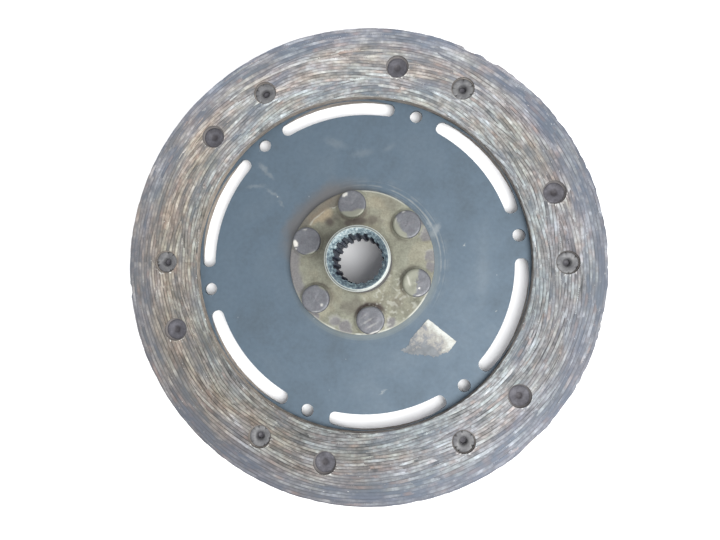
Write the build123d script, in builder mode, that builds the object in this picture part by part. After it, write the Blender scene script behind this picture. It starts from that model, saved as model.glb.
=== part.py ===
"""Rigid clutch disc: a splined hub riveted to a carrier plate with two friction facings.

The disc lies on its rear facing. The origin is on the hub's axis, at the lower face of that
facing, and +Z runs along the axis towards the hub's long nose. Angles are measured from +X.
"""

from math import cos, radians, sin
import os

from build123d import *

os.makedirs("parts", exist_ok=True)

# ---- Driving dimensions, in millimetres and degrees ----

# Everything on the disc repeats six times round its axis
sectors = 6

# Friction facings, one on each side of the carrier plate
facing_outer_diameter = 180.0
facing_width = 27.0
facing_thickness = 3.2
facing_edge_break = 0.25
facing_chip_cutter_radius = 6.0
facing_chip_height = 1.7
front_facing_chips = [(57.5, 0.7), (63.0, 0.9), (187.0, 0.6), (314.0, 0.8)]
rear_facing_chips = [(22.0, 0.6), (151.0, 0.8), (248.0, 0.7)]

# Recesses for the facing rivets: each facing has one at both kinds of rivet
recess_clearance = 0.3
recess_web = 1.0

# Carrier plate
plate_thickness = 1.6
plate_edge_inset = 1.5
plate_edge_break = 0.2
slot_phase = 40.0
slot_span = 43.4
slot_reach_in = 6.0
slot_end_width = 4.8
slot_bow = 1.4
slot_corner_radius = 2.2
relief_hole_phase = 10.0
relief_hole_reach_in = 3.5
relief_hole_diameter = 4.8

# Tubular rivets that clamp both facings to the plate, set in turn from either side
facing_rivet_offset = 1.0
front_set_phase = 20.0
rear_set_phase = 0.0
facing_rivet_shank_diameter = 4.8
facing_rivet_bore_diameter = 3.0
facing_rivet_head_diameter = 7.8
facing_rivet_head_thickness = 0.9
facing_rivet_head_dish = 0.25
facing_rivet_head_rim = 0.7
facing_rivet_head_round = 0.3
facing_rivet_head_floor = 1.2
facing_rivet_dimple_diameter = 3.3
facing_rivet_dimple_depth = 0.45
facing_rivet_curl_diameter = 8.4
facing_rivet_curl_height = 1.4
facing_rivet_curl_rim = 0.5
curl_splits = 6
curl_split_width = 0.5
curl_split_depth = 1.3

# Hub: a forged flange in front of the plate, a long nose and a short rear journal
hub_rear_setback = 0.3
hub_length = 26.5
journal_diameter = 28.0
journal_chamfer = 0.6
flange_rim = 5.3
flange_thickness = 3.0
flange_round = 0.5
nose_diameter = 23.0
nose_root_round = 2.5
nose_edge_chamfer = 0.35

# Internal spline
spline_teeth = 20
spline_minor_diameter = 16.8
spline_major_diameter = 19.0
tooth_tip_width = 0.95
tooth_root_width = 1.85
lead_in_width = 2.1

# Solid rivets that hold the plate to the hub's flange
hub_rivet_phase = 39.4
hub_rivet_circle_radius = 21.9
hub_rivet_shank_diameter = 6.4
hub_rivet_head_diameter = 10.6
hub_rivet_head_height = 2.3
hub_rivet_head_round = 0.7
hub_rivet_rear_head_diameter = 10.0
hub_rivet_rear_head_height = 2.1
hub_rivet_rear_head_round = 0.9

# Clearances on the radius
rivet_hole_clearance = 0.05
journal_clearance = 0.05

# ---- Heights and radii that follow from them ----

plate_bottom = facing_thickness
plate_top = plate_bottom + plate_thickness
facing_outer_radius = facing_outer_diameter / 2
facing_inner_radius = facing_outer_radius - facing_width
recess_radius = facing_rivet_curl_diameter / 2 + recess_clearance
recess_depth = facing_thickness - recess_web
plate_radius = facing_outer_radius - plate_edge_inset
slot_inner_radius = facing_inner_radius - slot_reach_in
slot_end_outer_radius = slot_inner_radius + slot_end_width
slot_middle_outer_radius = slot_end_outer_radius + slot_bow
relief_hole_circle_radius = facing_inner_radius - relief_hole_reach_in
facing_rivet_circle_radius = facing_outer_radius - facing_width / 2 - facing_rivet_offset
flange_top = plate_top + flange_thickness
flange_radius = hub_rivet_circle_radius + flange_rim
journal_radius = journal_diameter / 2
nose_radius = nose_diameter / 2
hub_bottom = hub_rear_setback
hub_top = hub_bottom + hub_length
spline_minor_radius = spline_minor_diameter / 2
spline_major_radius = spline_major_diameter / 2
facing_rivet_hole_radius = facing_rivet_shank_diameter / 2 + rivet_hole_clearance
hub_rivet_hole_radius = hub_rivet_shank_diameter / 2 + rivet_hole_clearance
sector_angle = 360 / sectors


def polar_point(radius, angle):
    """The point at a radius and an angle in degrees, in the plane across the axis."""
    return (radius * cos(radians(angle)), radius * sin(radians(angle)))


# ---- Hub ----


def spline_gap():
    """The outline of one gap between two spline teeth, centred on +X and open to the bore."""
    half_pitch = radians(180 / spline_teeth)
    mouth_half_width = spline_minor_radius * sin(half_pitch) - tooth_tip_width / 2
    root_half_width = spline_major_radius * sin(half_pitch) - tooth_root_width / 2
    mouth_x = (spline_minor_radius**2 - mouth_half_width**2) ** 0.5
    root_x = (spline_major_radius**2 - root_half_width**2) ** 0.5
    # The outline starts inside the bore, where the bore's own circle overlaps it.
    inner_x = mouth_x - tooth_tip_width
    with BuildSketch() as gap:
        with BuildLine():
            Polyline(
                (root_x, root_half_width),
                (mouth_x, mouth_half_width),
                (inner_x, mouth_half_width),
                (inner_x, -mouth_half_width),
                (mouth_x, -mouth_half_width),
                (root_x, -root_half_width),
            )
            ThreePointArc(
                (root_x, -root_half_width),
                (spline_major_radius, 0),
                (root_x, root_half_width),
            )
        make_face()
    return gap.sketch


one_spline_gap = spline_gap()
lead_in_radius = spline_minor_radius + lead_in_width

with BuildPart() as hub:
    # Rear journal, which the plate is centred on
    with BuildSketch(Plane.XY.offset(hub_bottom)):
        Circle(journal_radius)
    extrude(amount=plate_top - hub_bottom)
    chamfer(hub.edges().sort_by(Axis.Z)[0], journal_chamfer)
    # Flange
    with BuildSketch(Plane.XY.offset(plate_top)):
        Circle(flange_radius)
    extrude(amount=flange_thickness)
    fillet(hub.edges().sort_by(Axis.Z)[-1], flange_round)
    # Nose
    with BuildSketch(Plane.XY.offset(flange_top)):
        Circle(nose_radius)
    extrude(amount=hub_top - flange_top)
    nose_root = hub.edges().filter_by(
        lambda rim: rim.geom_type == GeomType.CIRCLE and rim.radius == nose_radius
    )
    fillet(nose_root.sort_by(Axis.Z)[0], nose_root_round)
    chamfer(hub.edges().sort_by(Axis.Z)[-1], nose_edge_chamfer)
    # Bore to the tooth tips, with the gaps between the teeth
    with BuildSketch(Plane.XY.offset(hub_bottom)):
        Circle(spline_minor_radius)
        with PolarLocations(0, spline_teeth):
            add(one_spline_gap)
    extrude(amount=hub_length, mode=Mode.SUBTRACT)
    # A cone at each end leads the shaft's splines in
    with BuildSketch(Plane.XZ):
        for mouth, throat in (
            (hub_top, hub_top - lead_in_width),
            (hub_bottom, hub_bottom + lead_in_width),
        ):
            with BuildLine():
                Polyline(
                    (0, mouth),
                    (lead_in_radius, mouth),
                    (spline_minor_radius, throat),
                    (0, throat),
                    close=True,
                )
            make_face()
    revolve(axis=Axis.Z, mode=Mode.SUBTRACT)
    # Rivet holes through the flange
    with BuildSketch(Plane.XY.offset(flange_top)):
        with PolarLocations(hub_rivet_circle_radius, sectors, start_angle=hub_rivet_phase):
            Circle(hub_rivet_hole_radius)
    extrude(amount=-flange_thickness, mode=Mode.SUBTRACT)

hub.part.label = "hub"
export_step(hub.part, "parts/hub.step")

# ---- Carrier plate ----

slot_half_span = slot_span / 2
# The corners nearly meet, so each end of a slot is almost a half circle.
slot_corner = min(slot_corner_radius, 0.46 * slot_end_width)

# A slot's outer edge bows out under the facings, and its inner edge follows the disc.
with BuildSketch() as slot:
    with BuildLine():
        inner_edge = ThreePointArc(
            polar_point(slot_inner_radius, -slot_half_span),
            (slot_inner_radius, 0),
            polar_point(slot_inner_radius, slot_half_span),
        )
        outer_edge = ThreePointArc(
            polar_point(slot_end_outer_radius, slot_half_span),
            (slot_middle_outer_radius, 0),
            polar_point(slot_end_outer_radius, -slot_half_span),
        )
        Line(inner_edge @ 1, outer_edge @ 0)
        Line(outer_edge @ 1, inner_edge @ 0)
    make_face()
    fillet(slot.vertices(), slot_corner)

with BuildPart() as carrier_plate:
    with BuildSketch(Plane.XY.offset(plate_bottom)):
        Circle(plate_radius)
    extrude(amount=plate_thickness)
    chamfer(carrier_plate.edges(), plate_edge_break)
    with BuildSketch(Plane.XY.offset(plate_bottom)):
        Circle(journal_radius + journal_clearance)
        with PolarLocations(hub_rivet_circle_radius, sectors, start_angle=hub_rivet_phase):
            Circle(hub_rivet_hole_radius)
        for phase in (front_set_phase, rear_set_phase):
            with PolarLocations(facing_rivet_circle_radius, sectors, start_angle=phase):
                Circle(facing_rivet_hole_radius)
        with PolarLocations(relief_hole_circle_radius, sectors, start_angle=relief_hole_phase):
            Circle(relief_hole_diameter / 2)
        with PolarLocations(0, sectors, start_angle=slot_phase):
            add(slot.sketch)
    extrude(amount=plate_thickness, mode=Mode.SUBTRACT)

carrier_plate.part.label = "carrier_plate"
export_step(carrier_plate.part, "parts/carrier_plate.step")

# ---- Friction facings ----


def friction_facing(mating_height, outward, chips):
    """A facing on one side of the plate, with a stepped hole at every facing rivet.

    The facing grows from the plate's face at mating_height, up for an outward of 1 and down
    for -1. Each chip in its worn rim is an angle and how far it reaches in.
    """
    rubbing_height = mating_height + outward * facing_thickness
    with BuildPart() as facing:
        with BuildSketch(Plane.XY.offset(mating_height)):
            Circle(facing_outer_radius)
        extrude(amount=outward * facing_thickness)
        rubbing_rim = facing.edges().sort_by(Axis.Z)[-1 if outward > 0 else 0]
        chamfer(rubbing_rim, facing_edge_break)
        with BuildSketch(Plane.XY.offset(mating_height)):
            Circle(facing_inner_radius)
            for phase in (front_set_phase, rear_set_phase):
                with PolarLocations(facing_rivet_circle_radius, sectors, start_angle=phase):
                    Circle(facing_rivet_hole_radius)
        extrude(amount=outward * facing_thickness, mode=Mode.SUBTRACT)
        with BuildSketch(Plane.XY.offset(rubbing_height)):
            for phase in (front_set_phase, rear_set_phase):
                with PolarLocations(facing_rivet_circle_radius, sectors, start_angle=phase):
                    Circle(recess_radius)
        extrude(amount=-outward * recess_depth, mode=Mode.SUBTRACT)
        with BuildSketch(Plane.XY.offset(rubbing_height)):
            for angle, reach in chips:
                cutter_radius = facing_outer_radius + facing_chip_cutter_radius - reach
                with Locations(polar_point(cutter_radius, angle)):
                    Circle(facing_chip_cutter_radius)
        extrude(amount=-outward * facing_chip_height, mode=Mode.SUBTRACT)
    return facing.part


for facing_name, mating_height, outward, chips in (
    ("front_facing", plate_top, 1, front_facing_chips),
    ("rear_facing", plate_bottom, -1, rear_facing_chips),
):
    facing_part = friction_facing(mating_height, outward, chips)
    facing_part.label = facing_name
    export_step(facing_part, f"parts/{facing_name}.step")

# ---- Facing rivets ----

# Heights on a facing rivet, from the middle of the plate towards its head
grip_half = plate_thickness / 2 + recess_web
facing_rivet_head_face = grip_half + facing_rivet_head_thickness
dish_height = facing_rivet_head_face - facing_rivet_head_dish
facing_rivet_bore_end = facing_rivet_head_face - facing_rivet_head_floor
curl_seat = -grip_half
curl_rim = curl_seat - facing_rivet_curl_rim
curl_crest = curl_seat - facing_rivet_curl_height
facing_rivet_shank_radius = facing_rivet_shank_diameter / 2
facing_rivet_bore_radius = facing_rivet_bore_diameter / 2
facing_rivet_head_radius = facing_rivet_head_diameter / 2
facing_rivet_curl_radius = facing_rivet_curl_diameter / 2
curl_split_side = (curl_split_depth**2 + (curl_split_width / 2) ** 2) ** 0.5


def rivet_plane(circle_radius, angle, height, head_side):
    """A plane through a rivet's axis, with x along the rivet's radius and y towards its head."""
    across_x, across_y = polar_point(1, angle)
    return Plane(
        origin=(*polar_point(circle_radius, angle), height),
        x_dir=(across_x, across_y, 0),
        z_dir=(head_side * across_y, -head_side * across_x, 0),
    )


def facing_rivet(angle, head_side):
    """A tubular rivet with a flat dimpled head, whose tail is rolled back into a curl."""
    middle = plate_bottom + plate_thickness / 2
    profile_plane = rivet_plane(facing_rivet_circle_radius, angle, middle, head_side)
    rivet_axis = Axis(profile_plane.origin, (0, 0, head_side))
    curl_plane = Plane(
        origin=profile_plane.from_local_coords((0, curl_seat)),
        x_dir=profile_plane.x_dir,
        z_dir=(0, 0, -head_side),
    )
    with BuildPart() as rivet:
        with BuildSketch(profile_plane):
            with BuildLine():
                Polyline(
                    (facing_rivet_bore_radius, curl_rim),
                    (facing_rivet_bore_radius, facing_rivet_bore_end),
                    (0, facing_rivet_bore_end),
                    (0, dish_height - facing_rivet_dimple_depth),
                    (facing_rivet_dimple_diameter / 2, dish_height),
                    (facing_rivet_head_radius - facing_rivet_head_rim, facing_rivet_head_face),
                    (facing_rivet_head_radius, facing_rivet_head_face),
                    (facing_rivet_head_radius, grip_half),
                    (facing_rivet_shank_radius, grip_half),
                    (facing_rivet_shank_radius, curl_seat),
                    (facing_rivet_curl_radius, curl_seat),
                    (facing_rivet_curl_radius, curl_rim),
                )
                ThreePointArc(
                    (facing_rivet_curl_radius, curl_rim),
                    ((facing_rivet_curl_radius + facing_rivet_bore_radius) / 2, curl_crest),
                    (facing_rivet_bore_radius, curl_rim),
                )
            make_face()
        revolve(axis=rivet_axis)
        head_rim = rivet.edges().group_by(rivet_axis)[-1].sort_by(SortBy.RADIUS)[-1]
        fillet(head_rim, facing_rivet_head_round)
        # The curl's edge splits where the tube's end is stretched most.
        with BuildSketch(curl_plane):
            with PolarLocations(facing_rivet_curl_radius, curl_splits):
                Triangle(
                    a=curl_split_width,
                    b=curl_split_side,
                    c=curl_split_side,
                    rotation=90,
                    align=(Align.CENTER, Align.MIN),
                )
        extrude(amount=facing_rivet_curl_height, mode=Mode.SUBTRACT)
    return rivet.part


# Going round the disc, the rivets are set from the rear and from the front in turn.
for sector in range(sectors):
    for turn, (phase, head_side) in enumerate(((rear_set_phase, -1), (front_set_phase, 1))):
        rivet_part = facing_rivet(phase + sector * sector_angle, head_side)
        rivet_part.label = f"facing_rivet_{2 * sector + turn + 1:02d}"
        export_step(rivet_part, f"parts/{rivet_part.label}.step")

# ---- Hub rivets ----

hub_rivet_head_face = flange_top + hub_rivet_head_height
hub_rivet_rear_face = plate_bottom - hub_rivet_rear_head_height
hub_rivet_shank_radius = hub_rivet_shank_diameter / 2
hub_rivet_head_radius = hub_rivet_head_diameter / 2
hub_rivet_rear_head_radius = hub_rivet_rear_head_diameter / 2


def hub_rivet(angle):
    """A solid rivet with a flat-topped head on the flange and a formed head behind the plate."""
    profile_plane = rivet_plane(hub_rivet_circle_radius, angle, 0, 1)
    with BuildPart() as rivet:
        with BuildSketch(profile_plane):
            with BuildLine():
                Polyline(
                    (0, hub_rivet_rear_face),
                    (hub_rivet_rear_head_radius, hub_rivet_rear_face),
                    (hub_rivet_rear_head_radius, plate_bottom),
                    (hub_rivet_shank_radius, plate_bottom),
                    (hub_rivet_shank_radius, flange_top),
                    (hub_rivet_head_radius, flange_top),
                    (hub_rivet_head_radius, hub_rivet_head_face),
                    (0, hub_rivet_head_face),
                    close=True,
                )
            make_face()
        revolve(axis=Axis(profile_plane.origin, (0, 0, 1)))
        fillet(rivet.edges().sort_by(Axis.Z)[0], hub_rivet_rear_head_round)
        fillet(rivet.edges().sort_by(Axis.Z)[-1], hub_rivet_head_round)
    return rivet.part


for sector in range(sectors):
    rivet_part = hub_rivet(hub_rivet_phase + sector * sector_angle)
    rivet_part.label = f"hub_rivet_{sector + 1}"
    export_step(rivet_part, f"parts/{rivet_part.label}.step")
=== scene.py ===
"""Dresses a packed clutch disc as a worn one: wound-yarn facings, tubular rivets, splined hub and dirt.

Lengths are in metres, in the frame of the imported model: the disc lies on its rear facing, the
origin is on the hub's axis at the floor, and +Z points to the hub's nose. Angles are measured
from +X, counter-clockwise from above.
"""

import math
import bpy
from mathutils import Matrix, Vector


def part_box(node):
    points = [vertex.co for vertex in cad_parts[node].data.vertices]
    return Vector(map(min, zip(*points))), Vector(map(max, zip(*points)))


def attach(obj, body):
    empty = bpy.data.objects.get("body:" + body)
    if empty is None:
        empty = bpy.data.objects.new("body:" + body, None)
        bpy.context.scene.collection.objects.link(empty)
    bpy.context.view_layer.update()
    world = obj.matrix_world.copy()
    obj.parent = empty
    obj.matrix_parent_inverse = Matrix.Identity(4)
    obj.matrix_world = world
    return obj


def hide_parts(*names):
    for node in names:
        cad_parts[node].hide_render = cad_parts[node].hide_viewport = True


bl_info = {
    "name": "Worn Clutch Disc", "version": (1, 0, 0), "blender": (4, 5, 0),
    "location": "View3D > Sidebar > Clutch Disc",
    "description": "Builds a worn clutch disc with wound-yarn facings, rivets, a splined hub and dirt",
    "category": "Add Mesh",
}

from functools import partial

import bpy
import numpy as np
from bpy.props import FloatProperty, FloatVectorProperty, IntProperty, PointerProperty
from mathutils import Vector
from mathutils.geometry import delaunay_2d_cdt

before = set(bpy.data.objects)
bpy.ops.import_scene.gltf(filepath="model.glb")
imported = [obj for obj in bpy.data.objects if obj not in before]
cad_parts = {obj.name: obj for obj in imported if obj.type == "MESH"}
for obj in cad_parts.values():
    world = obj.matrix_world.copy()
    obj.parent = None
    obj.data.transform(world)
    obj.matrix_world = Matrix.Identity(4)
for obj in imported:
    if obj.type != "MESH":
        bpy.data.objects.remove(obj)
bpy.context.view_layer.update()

MM = 0.001
TURN = 2 * math.pi
BODY = "root"

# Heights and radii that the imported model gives
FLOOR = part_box("rear_facing")[0].z
PLATE_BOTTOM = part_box("carrier_plate")[0].z
PLATE_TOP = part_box("carrier_plate")[1].z
DISC_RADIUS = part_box("front_facing")[1].x
HUB_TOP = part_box("hub")[1].z
FLANGE_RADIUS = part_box("hub")[1].x
FACING_RIVETS = sorted(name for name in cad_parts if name.startswith("facing_rivet_"))
HUB_RIVETS = sorted(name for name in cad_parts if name.startswith("hub_rivet_"))


# ---- Small helpers ----


def linear(code):
    """The linear RGBA of an sRGB hex colour such as "#8A7F70"."""
    parts = [int(code[i : i + 2], 16) / 255 for i in (1, 3, 5)]
    return tuple(p / 12.92 if p <= 0.04045 else ((p + 0.055) / 1.055) ** 2.4 for p in parts) + (1.0,)


def node_centre(name):
    """Where a packed rivet stands, as x and y."""
    low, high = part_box(name)
    return (low.x + high.x) / 2, (low.y + high.y) / 2


def smooth(value, start, end):
    """0 before start, 1 after end, and a smooth step between them."""
    share = np.clip((value - start) / (end - start), 0, 1)
    return share * share * (3 - 2 * share)


def ring_noise(radius, angle, radial_cell, cells_round, seed):
    """Smooth noise from 0 to 1 over a ring, which joins up after a full turn."""
    rows = 97
    table = np.random.default_rng(seed).random((rows, cells_round))
    along = np.asarray(angle) / TURN * cells_round
    across = np.asarray(radius) / radial_cell
    column, row = np.floor(along).astype(int), np.floor(across).astype(int)
    s, t = along - column, across - row
    s, t = s * s * (3 - 2 * s), t * t * (3 - 2 * t)
    column, row = column % cells_round, row % rows
    next_column, next_row = (column + 1) % cells_round, (row + 1) % rows
    near = table[row, column] * (1 - s) + table[row, next_column] * s
    far = table[next_row, column] * (1 - s) + table[next_row, next_column] * s
    return near * (1 - t) + far * t


def full_turn(count):
    """Angles at even steps round a full turn."""
    return np.arange(count) / count * TURN


def on_circle(radius, angle):
    """The x and y of a radius at an angle."""
    return radius * np.cos(angle), radius * np.sin(angle)


def edge_noise(angle, cells_round, seed):
    """Smooth noise from 0 to 1 round an edge."""
    return ring_noise(0 * angle, angle, 1.0, cells_round, seed)


def polar(points):
    """How far each point lies from the axis, and its angle."""
    return np.hypot(points[:, 0], points[:, 1]), np.arctan2(points[:, 1], points[:, 0])


def polar_gap(angle, centre):
    """How far an angle lies from a centre, in radians, the shorter way round."""
    return np.abs((np.asarray(angle) - centre + math.pi) % TURN - math.pi)


def towards(angle, degrees, near, far):
    """1 on one side of the disc, and 0 more than far from it, in radians."""
    return 1 - smooth(polar_gap(angle, math.radians(degrees)), near, far)


def bridge(first, second):
    """Quads between two closed loops of vertex numbers."""
    return [
        (first[i], first[(i + 1) % len(first)], second[(i + 1) % len(first)], second[i])
        for i in range(len(first))
    ]


def add_piece(name, points, faces, material, sharp_angle=40):
    """A mesh object that rides on the disc, with smooth faces and sharp edges above an angle."""
    mesh = bpy.data.meshes.new(name)
    mesh.from_pydata([tuple(p) for p in points], [], faces)
    mesh.validate()
    mesh.shade_smooth()
    mesh.set_sharp_from_angle(angle=math.radians(sharp_angle))
    mesh.materials.append(material)
    piece = bpy.data.objects.new(name, mesh)
    bpy.context.scene.collection.objects.link(piece)
    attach(piece, BODY)
    return piece


def point_values(piece, name, values):
    """Stores one number for each vertex, which a material reads as an attribute."""
    attribute = piece.data.attributes.new(name, "FLOAT", "POINT")
    attribute.data.foreach_set("value", np.asarray(values, np.float32))


# The setting that the second word of a node's kind stands for
MODES = {
    "Math": "operation", "VectorMath": "operation", "Mix": "data_type",
    "MapRange": "interpolation_type", "TexNoise": "noise_dimensions",
}


# The output that is meant when none is named, where it isn't the first one in use
OUTPUTS = {"ShaderNodeAttribute": "Fac", "ShaderNodeTexCoord": "Object"}


def add_node(material, kind, *numbered, stops=(), **named):
    """Adds a shader node of a kind and mode, such as "Math ADD", to a material.

    Inputs come by number, and inputs (capitals) and settings (small letters) by name. An input
    takes a value, a hex colour, a node, whose usual output is meant, or a node and the name of
    its output.
    """
    kind, _, mode = kind.partition(" ")
    made = material.node_tree.nodes.new("ShaderNode" + kind)
    if mode:
        setattr(made, MODES[kind], mode)
    inputs = dict(enumerate(numbered))
    for name, value in named.items():
        if name[0].isupper():
            inputs[name.replace("_", " ")] = value
        else:
            setattr(made, name, value)
    for key, value in inputs.items():
        source, output = value if isinstance(value, tuple) and len(value) == 2 else (value, None)
        if isinstance(source, bpy.types.Node):
            if output is None:
                first = [socket.enabled for socket in source.outputs].index(True)
                output = OUTPUTS.get(source.bl_idname, first)
            material.node_tree.links.new(source.outputs[output], made.inputs[key])
        else:
            made.inputs[key].default_value = linear(value) if isinstance(value, str) else value
    if stops:
        elements = made.color_ramp.elements
        for _ in stops[2:]:
            elements.new(0.5)
        for element, (position, colour) in zip(elements, stops):
            element.position = position
            element.color = linear(colour) if isinstance(colour, str) else colour
    return made


def new_material(name):
    """An empty material, and the function that adds nodes to it."""
    material = bpy.data.materials.new(name)
    material.use_nodes = True
    material.node_tree.nodes.clear()
    return material, partial(add_node, material)


def disc_places(add):
    """A point's place, its parts, its place in the disc's plane and its radius, as nodes."""
    place = add("TexCoord")
    parts = add("SeparateXYZ", place)
    flat_place = add("CombineXYZ", X=(parts, "X"), Y=(parts, "Y"))
    return place, parts, flat_place, add("VectorMath LENGTH", flat_place)


def grey(value):
    """A grey of a linear value, for the stops of a mask."""
    return (value, value, value, 1.0)


# ---- Settings ----


class ClutchFacingSettings(bpy.types.PropertyGroup):
    """Sizes and colours of the two friction facings."""

    width: FloatProperty(
        name="Width", description="Radial width of the facing ring", default=27 * MM, unit="LENGTH",
    )
    recess_radius: FloatProperty(
        name="Recess radius", description="Radius of a rivet recess", default=4.35 * MM, unit="LENGTH",
    )
    recess_web: FloatProperty(
        name="Recess web", description="Thickness of facing left under a rivet recess",
        default=1.0 * MM, unit="LENGTH",
    )
    shank_hole_radius: FloatProperty(
        name="Shank hole radius", description="Radius of the hole that a rivet's shank goes through",
        default=2.45 * MM, unit="LENGTH",
    )
    yarn_pitch: FloatProperty(
        name="Yarn pitch", description="Width of one laid yarn", default=1.15 * MM, unit="LENGTH",
    )
    groove_depth: FloatProperty(
        name="Groove depth", description="Depth between two yarns", default=0.16 * MM, unit="LENGTH",
    )
    yarn_step: FloatProperty(
        name="Yarn step", description="How much lower a worn yarn may lie", default=0.12 * MM,
        unit="LENGTH",
    )
    tan: FloatVectorProperty(
        name="Tan yarn", description="Colour of clean yarn", subtype="COLOR",
        default=linear("#84817B")[:3],
    )
    glaze: FloatVectorProperty(
        name="Glaze", description="Colour of the smooth burnt glaze", subtype="COLOR",
        default=linear("#595D62")[:3],
    )


class ClutchPlateSettings(bpy.types.PropertyGroup):
    """Colours of the carrier plate and its soot, and the thickness of the scrap of label on it."""

    steel: FloatVectorProperty(
        name="Steel", description="Colour of the phosphated plate", subtype="COLOR",
        default=linear("#485763")[:3],
    )
    soot: FloatVectorProperty(
        name="Soot", description="Colour of the smear round the flange", subtype="COLOR",
        default=linear("#575452")[:3],
    )
    scrap_thickness: FloatProperty(
        name="Scrap thickness", description="Thickness of the label scrap", default=0.08 * MM,
        unit="LENGTH",
    )


class ClutchHubSettings(bpy.types.PropertyGroup):
    """Sizes and colours of the hub and the grime on its flange."""

    flange_top: FloatProperty(
        name="Flange top", description="Height of the flange's face above the plate", default=3.0 * MM,
        unit="LENGTH",
    )
    nose_radius: FloatProperty(
        name="Nose radius", description="Outer radius of the hub's nose", default=11.5 * MM,
        unit="LENGTH",
    )
    grime_thickness: FloatProperty(
        name="Grime thickness", description="Thickest caked grime", default=0.25 * MM, unit="LENGTH",
    )
    steel: FloatVectorProperty(
        name="Bare steel", description="Colour of the bare flange", subtype="COLOR",
        default=linear("#5E5C5E")[:3],
    )
    grime: FloatVectorProperty(
        name="Grime", description="Colour of the olive grime", subtype="COLOR",
        default=linear("#797A6C")[:3],
    )


class ClutchRivetSettings(bpy.types.PropertyGroup):
    """Sizes and colours of the rivets."""

    around: IntProperty(
        name="Facets", description="Vertices round a rivet", default=96, min=24, max=256,
    )
    tail_steel: FloatVectorProperty(
        name="Tail steel", description="Colour of a curled tail", subtype="COLOR",
        default=linear("#636364")[:3],
    )
    head_steel: FloatVectorProperty(
        name="Head steel", description="Colour of a flat head", subtype="COLOR",
        default=linear("#4C4B50")[:3],
    )
    hub_steel: FloatVectorProperty(
        name="Hub rivet steel", description="Colour of a hub rivet", subtype="COLOR",
        default=linear("#5A5C60")[:3],
    )


class ClutchStageSettings(bpy.types.PropertyGroup):
    """Floor and camera."""

    floor_size: FloatProperty(
        name="Floor size", description="Side of the floor", default=6.0, unit="LENGTH",
    )
    floor_colour: FloatVectorProperty(
        name="Floor", description="Colour of the floor", subtype="COLOR", default=linear("#F6F6F6")[:3],
    )
    camera_place: FloatVectorProperty(
        name="Camera place", description="Where the camera stands", subtype="TRANSLATION",
        default=(0.016965, -0.014739, 0.22387),
    )
    camera_turn: FloatVectorProperty(
        name="Camera turn", description="How the camera leans from straight down", subtype="EULER",
        default=(math.radians(3.1401), math.radians(4.6101), math.radians(0.4)),
    )
    focal_length: FloatProperty(
        name="Focal length", description="In millimetres on a 36 mm sensor", default=29.0,
    )


# ---- Facings ----

YARN_LAYERS = 6
MESH_COLUMNS = 660
MESH_ROWS = 64
HOLE_FACETS = 56
LAYER_STRIDE = 60
# How far the rubbing face's edges lie inside the walls
RIM_INSET, BORE_INSET = 0.12 * MM, 0.10 * MM
# The side of each rivet recess where the painted glints gather, as x and y
GLINT_SIDE = (0.26, -0.97)
# Where a facing is painted lighter or darker, as painted light and shade across the disc with a painted
# sheen to the lower right: degrees, half width in degrees, how much
FACE_PAINTED_LIGHT = ((90, 95, 0.34), (40, 24, -0.12), (238, 75, -0.22), (280, 22, 0.07), (306, 34, 0.24))
# How much warmer oil has left it there, in the same way; the walls' painted light and shade follow it
# too
FACE_WARMTH_AND_WALL_LIGHT = ((183, 60, 0.44), (228, 40, 0.20), (303, 44, -0.42), (356, 36, -0.33), (40, 26, -0.20))


class Winding:
    """The paths of a facing's yarns: layers that swing in and out as they go round."""

    def __init__(self, settings, seed):
        numbers = np.random.default_rng(seed)
        self.seed = seed
        self.settings = settings
        self.outer = DISC_RADIUS
        self.inner = DISC_RADIUS - settings.width
        self.waves = numbers.integers(3, 9, YARN_LAYERS)
        slopes = numbers.uniform(0.03, 0.15, YARN_LAYERS)
        self.swings = slopes * (self.outer + self.inner) / 2 / self.waves
        self.phases = numbers.uniform(0, TURN, YARN_LAYERS)
        self.levels = numbers.random((YARN_LAYERS, LAYER_STRIDE * 3))

    def across(self, layer, radius, angle):
        """The place across a layer's yarns: whole numbers are the grooves between them."""
        calm = 1 - 0.8 * smooth(radius, self.outer - 12 * MM, self.outer - 3 * MM)
        swing = self.swings[layer] * calm * np.sin(self.waves[layer] * angle + self.phases[layer])
        return (radius - self.inner - swing) / self.settings.yarn_pitch + LAYER_STRIDE / 3

    def top_layer(self, radius, angle):
        """Which layer lies on top, in patches longer round the disc than across it."""
        ranks = [
            ring_noise(radius, angle, 4.5 * MM, 13 + layer, self.seed * 50 + layer) + 0.22 * ring_noise(
                radius, angle, 1.4 * MM, 37 + layer, self.seed * 70 + layer,
            )
            for layer in range(YARN_LAYERS)
        ]
        return np.argmax(ranks, axis=0)

    def depth(self, radius, angle):
        """How far the worn surface lies below the facing's true face, at least zero."""
        layer = self.top_layer(radius, angle)
        across = np.zeros_like(radius)
        for number in range(YARN_LAYERS):
            across = np.where(layer == number, self.across(number, radius, angle), across)
        yarn = np.floor(across).astype(int) % self.levels.shape[1]
        ridge = np.sin(math.pi * (across % 1)) ** 0.6
        glazed = smooth(radius, self.outer - 10 * MM, self.outer - 3 * MM)
        step = self.levels[layer, yarn] * ring_noise(radius, angle, 60 * MM, 90, self.seed + 7)
        pits = smooth(ring_noise(radius, angle, 1.6 * MM, 240, self.seed + 9), 0.80, 0.95)
        depth = self.settings.groove_depth * (1 - ridge) * (1 - 0.55 * glazed)
        return depth + self.settings.yarn_step * (step * (1 - 0.5 * glazed) + 0.8 * pits)


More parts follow.
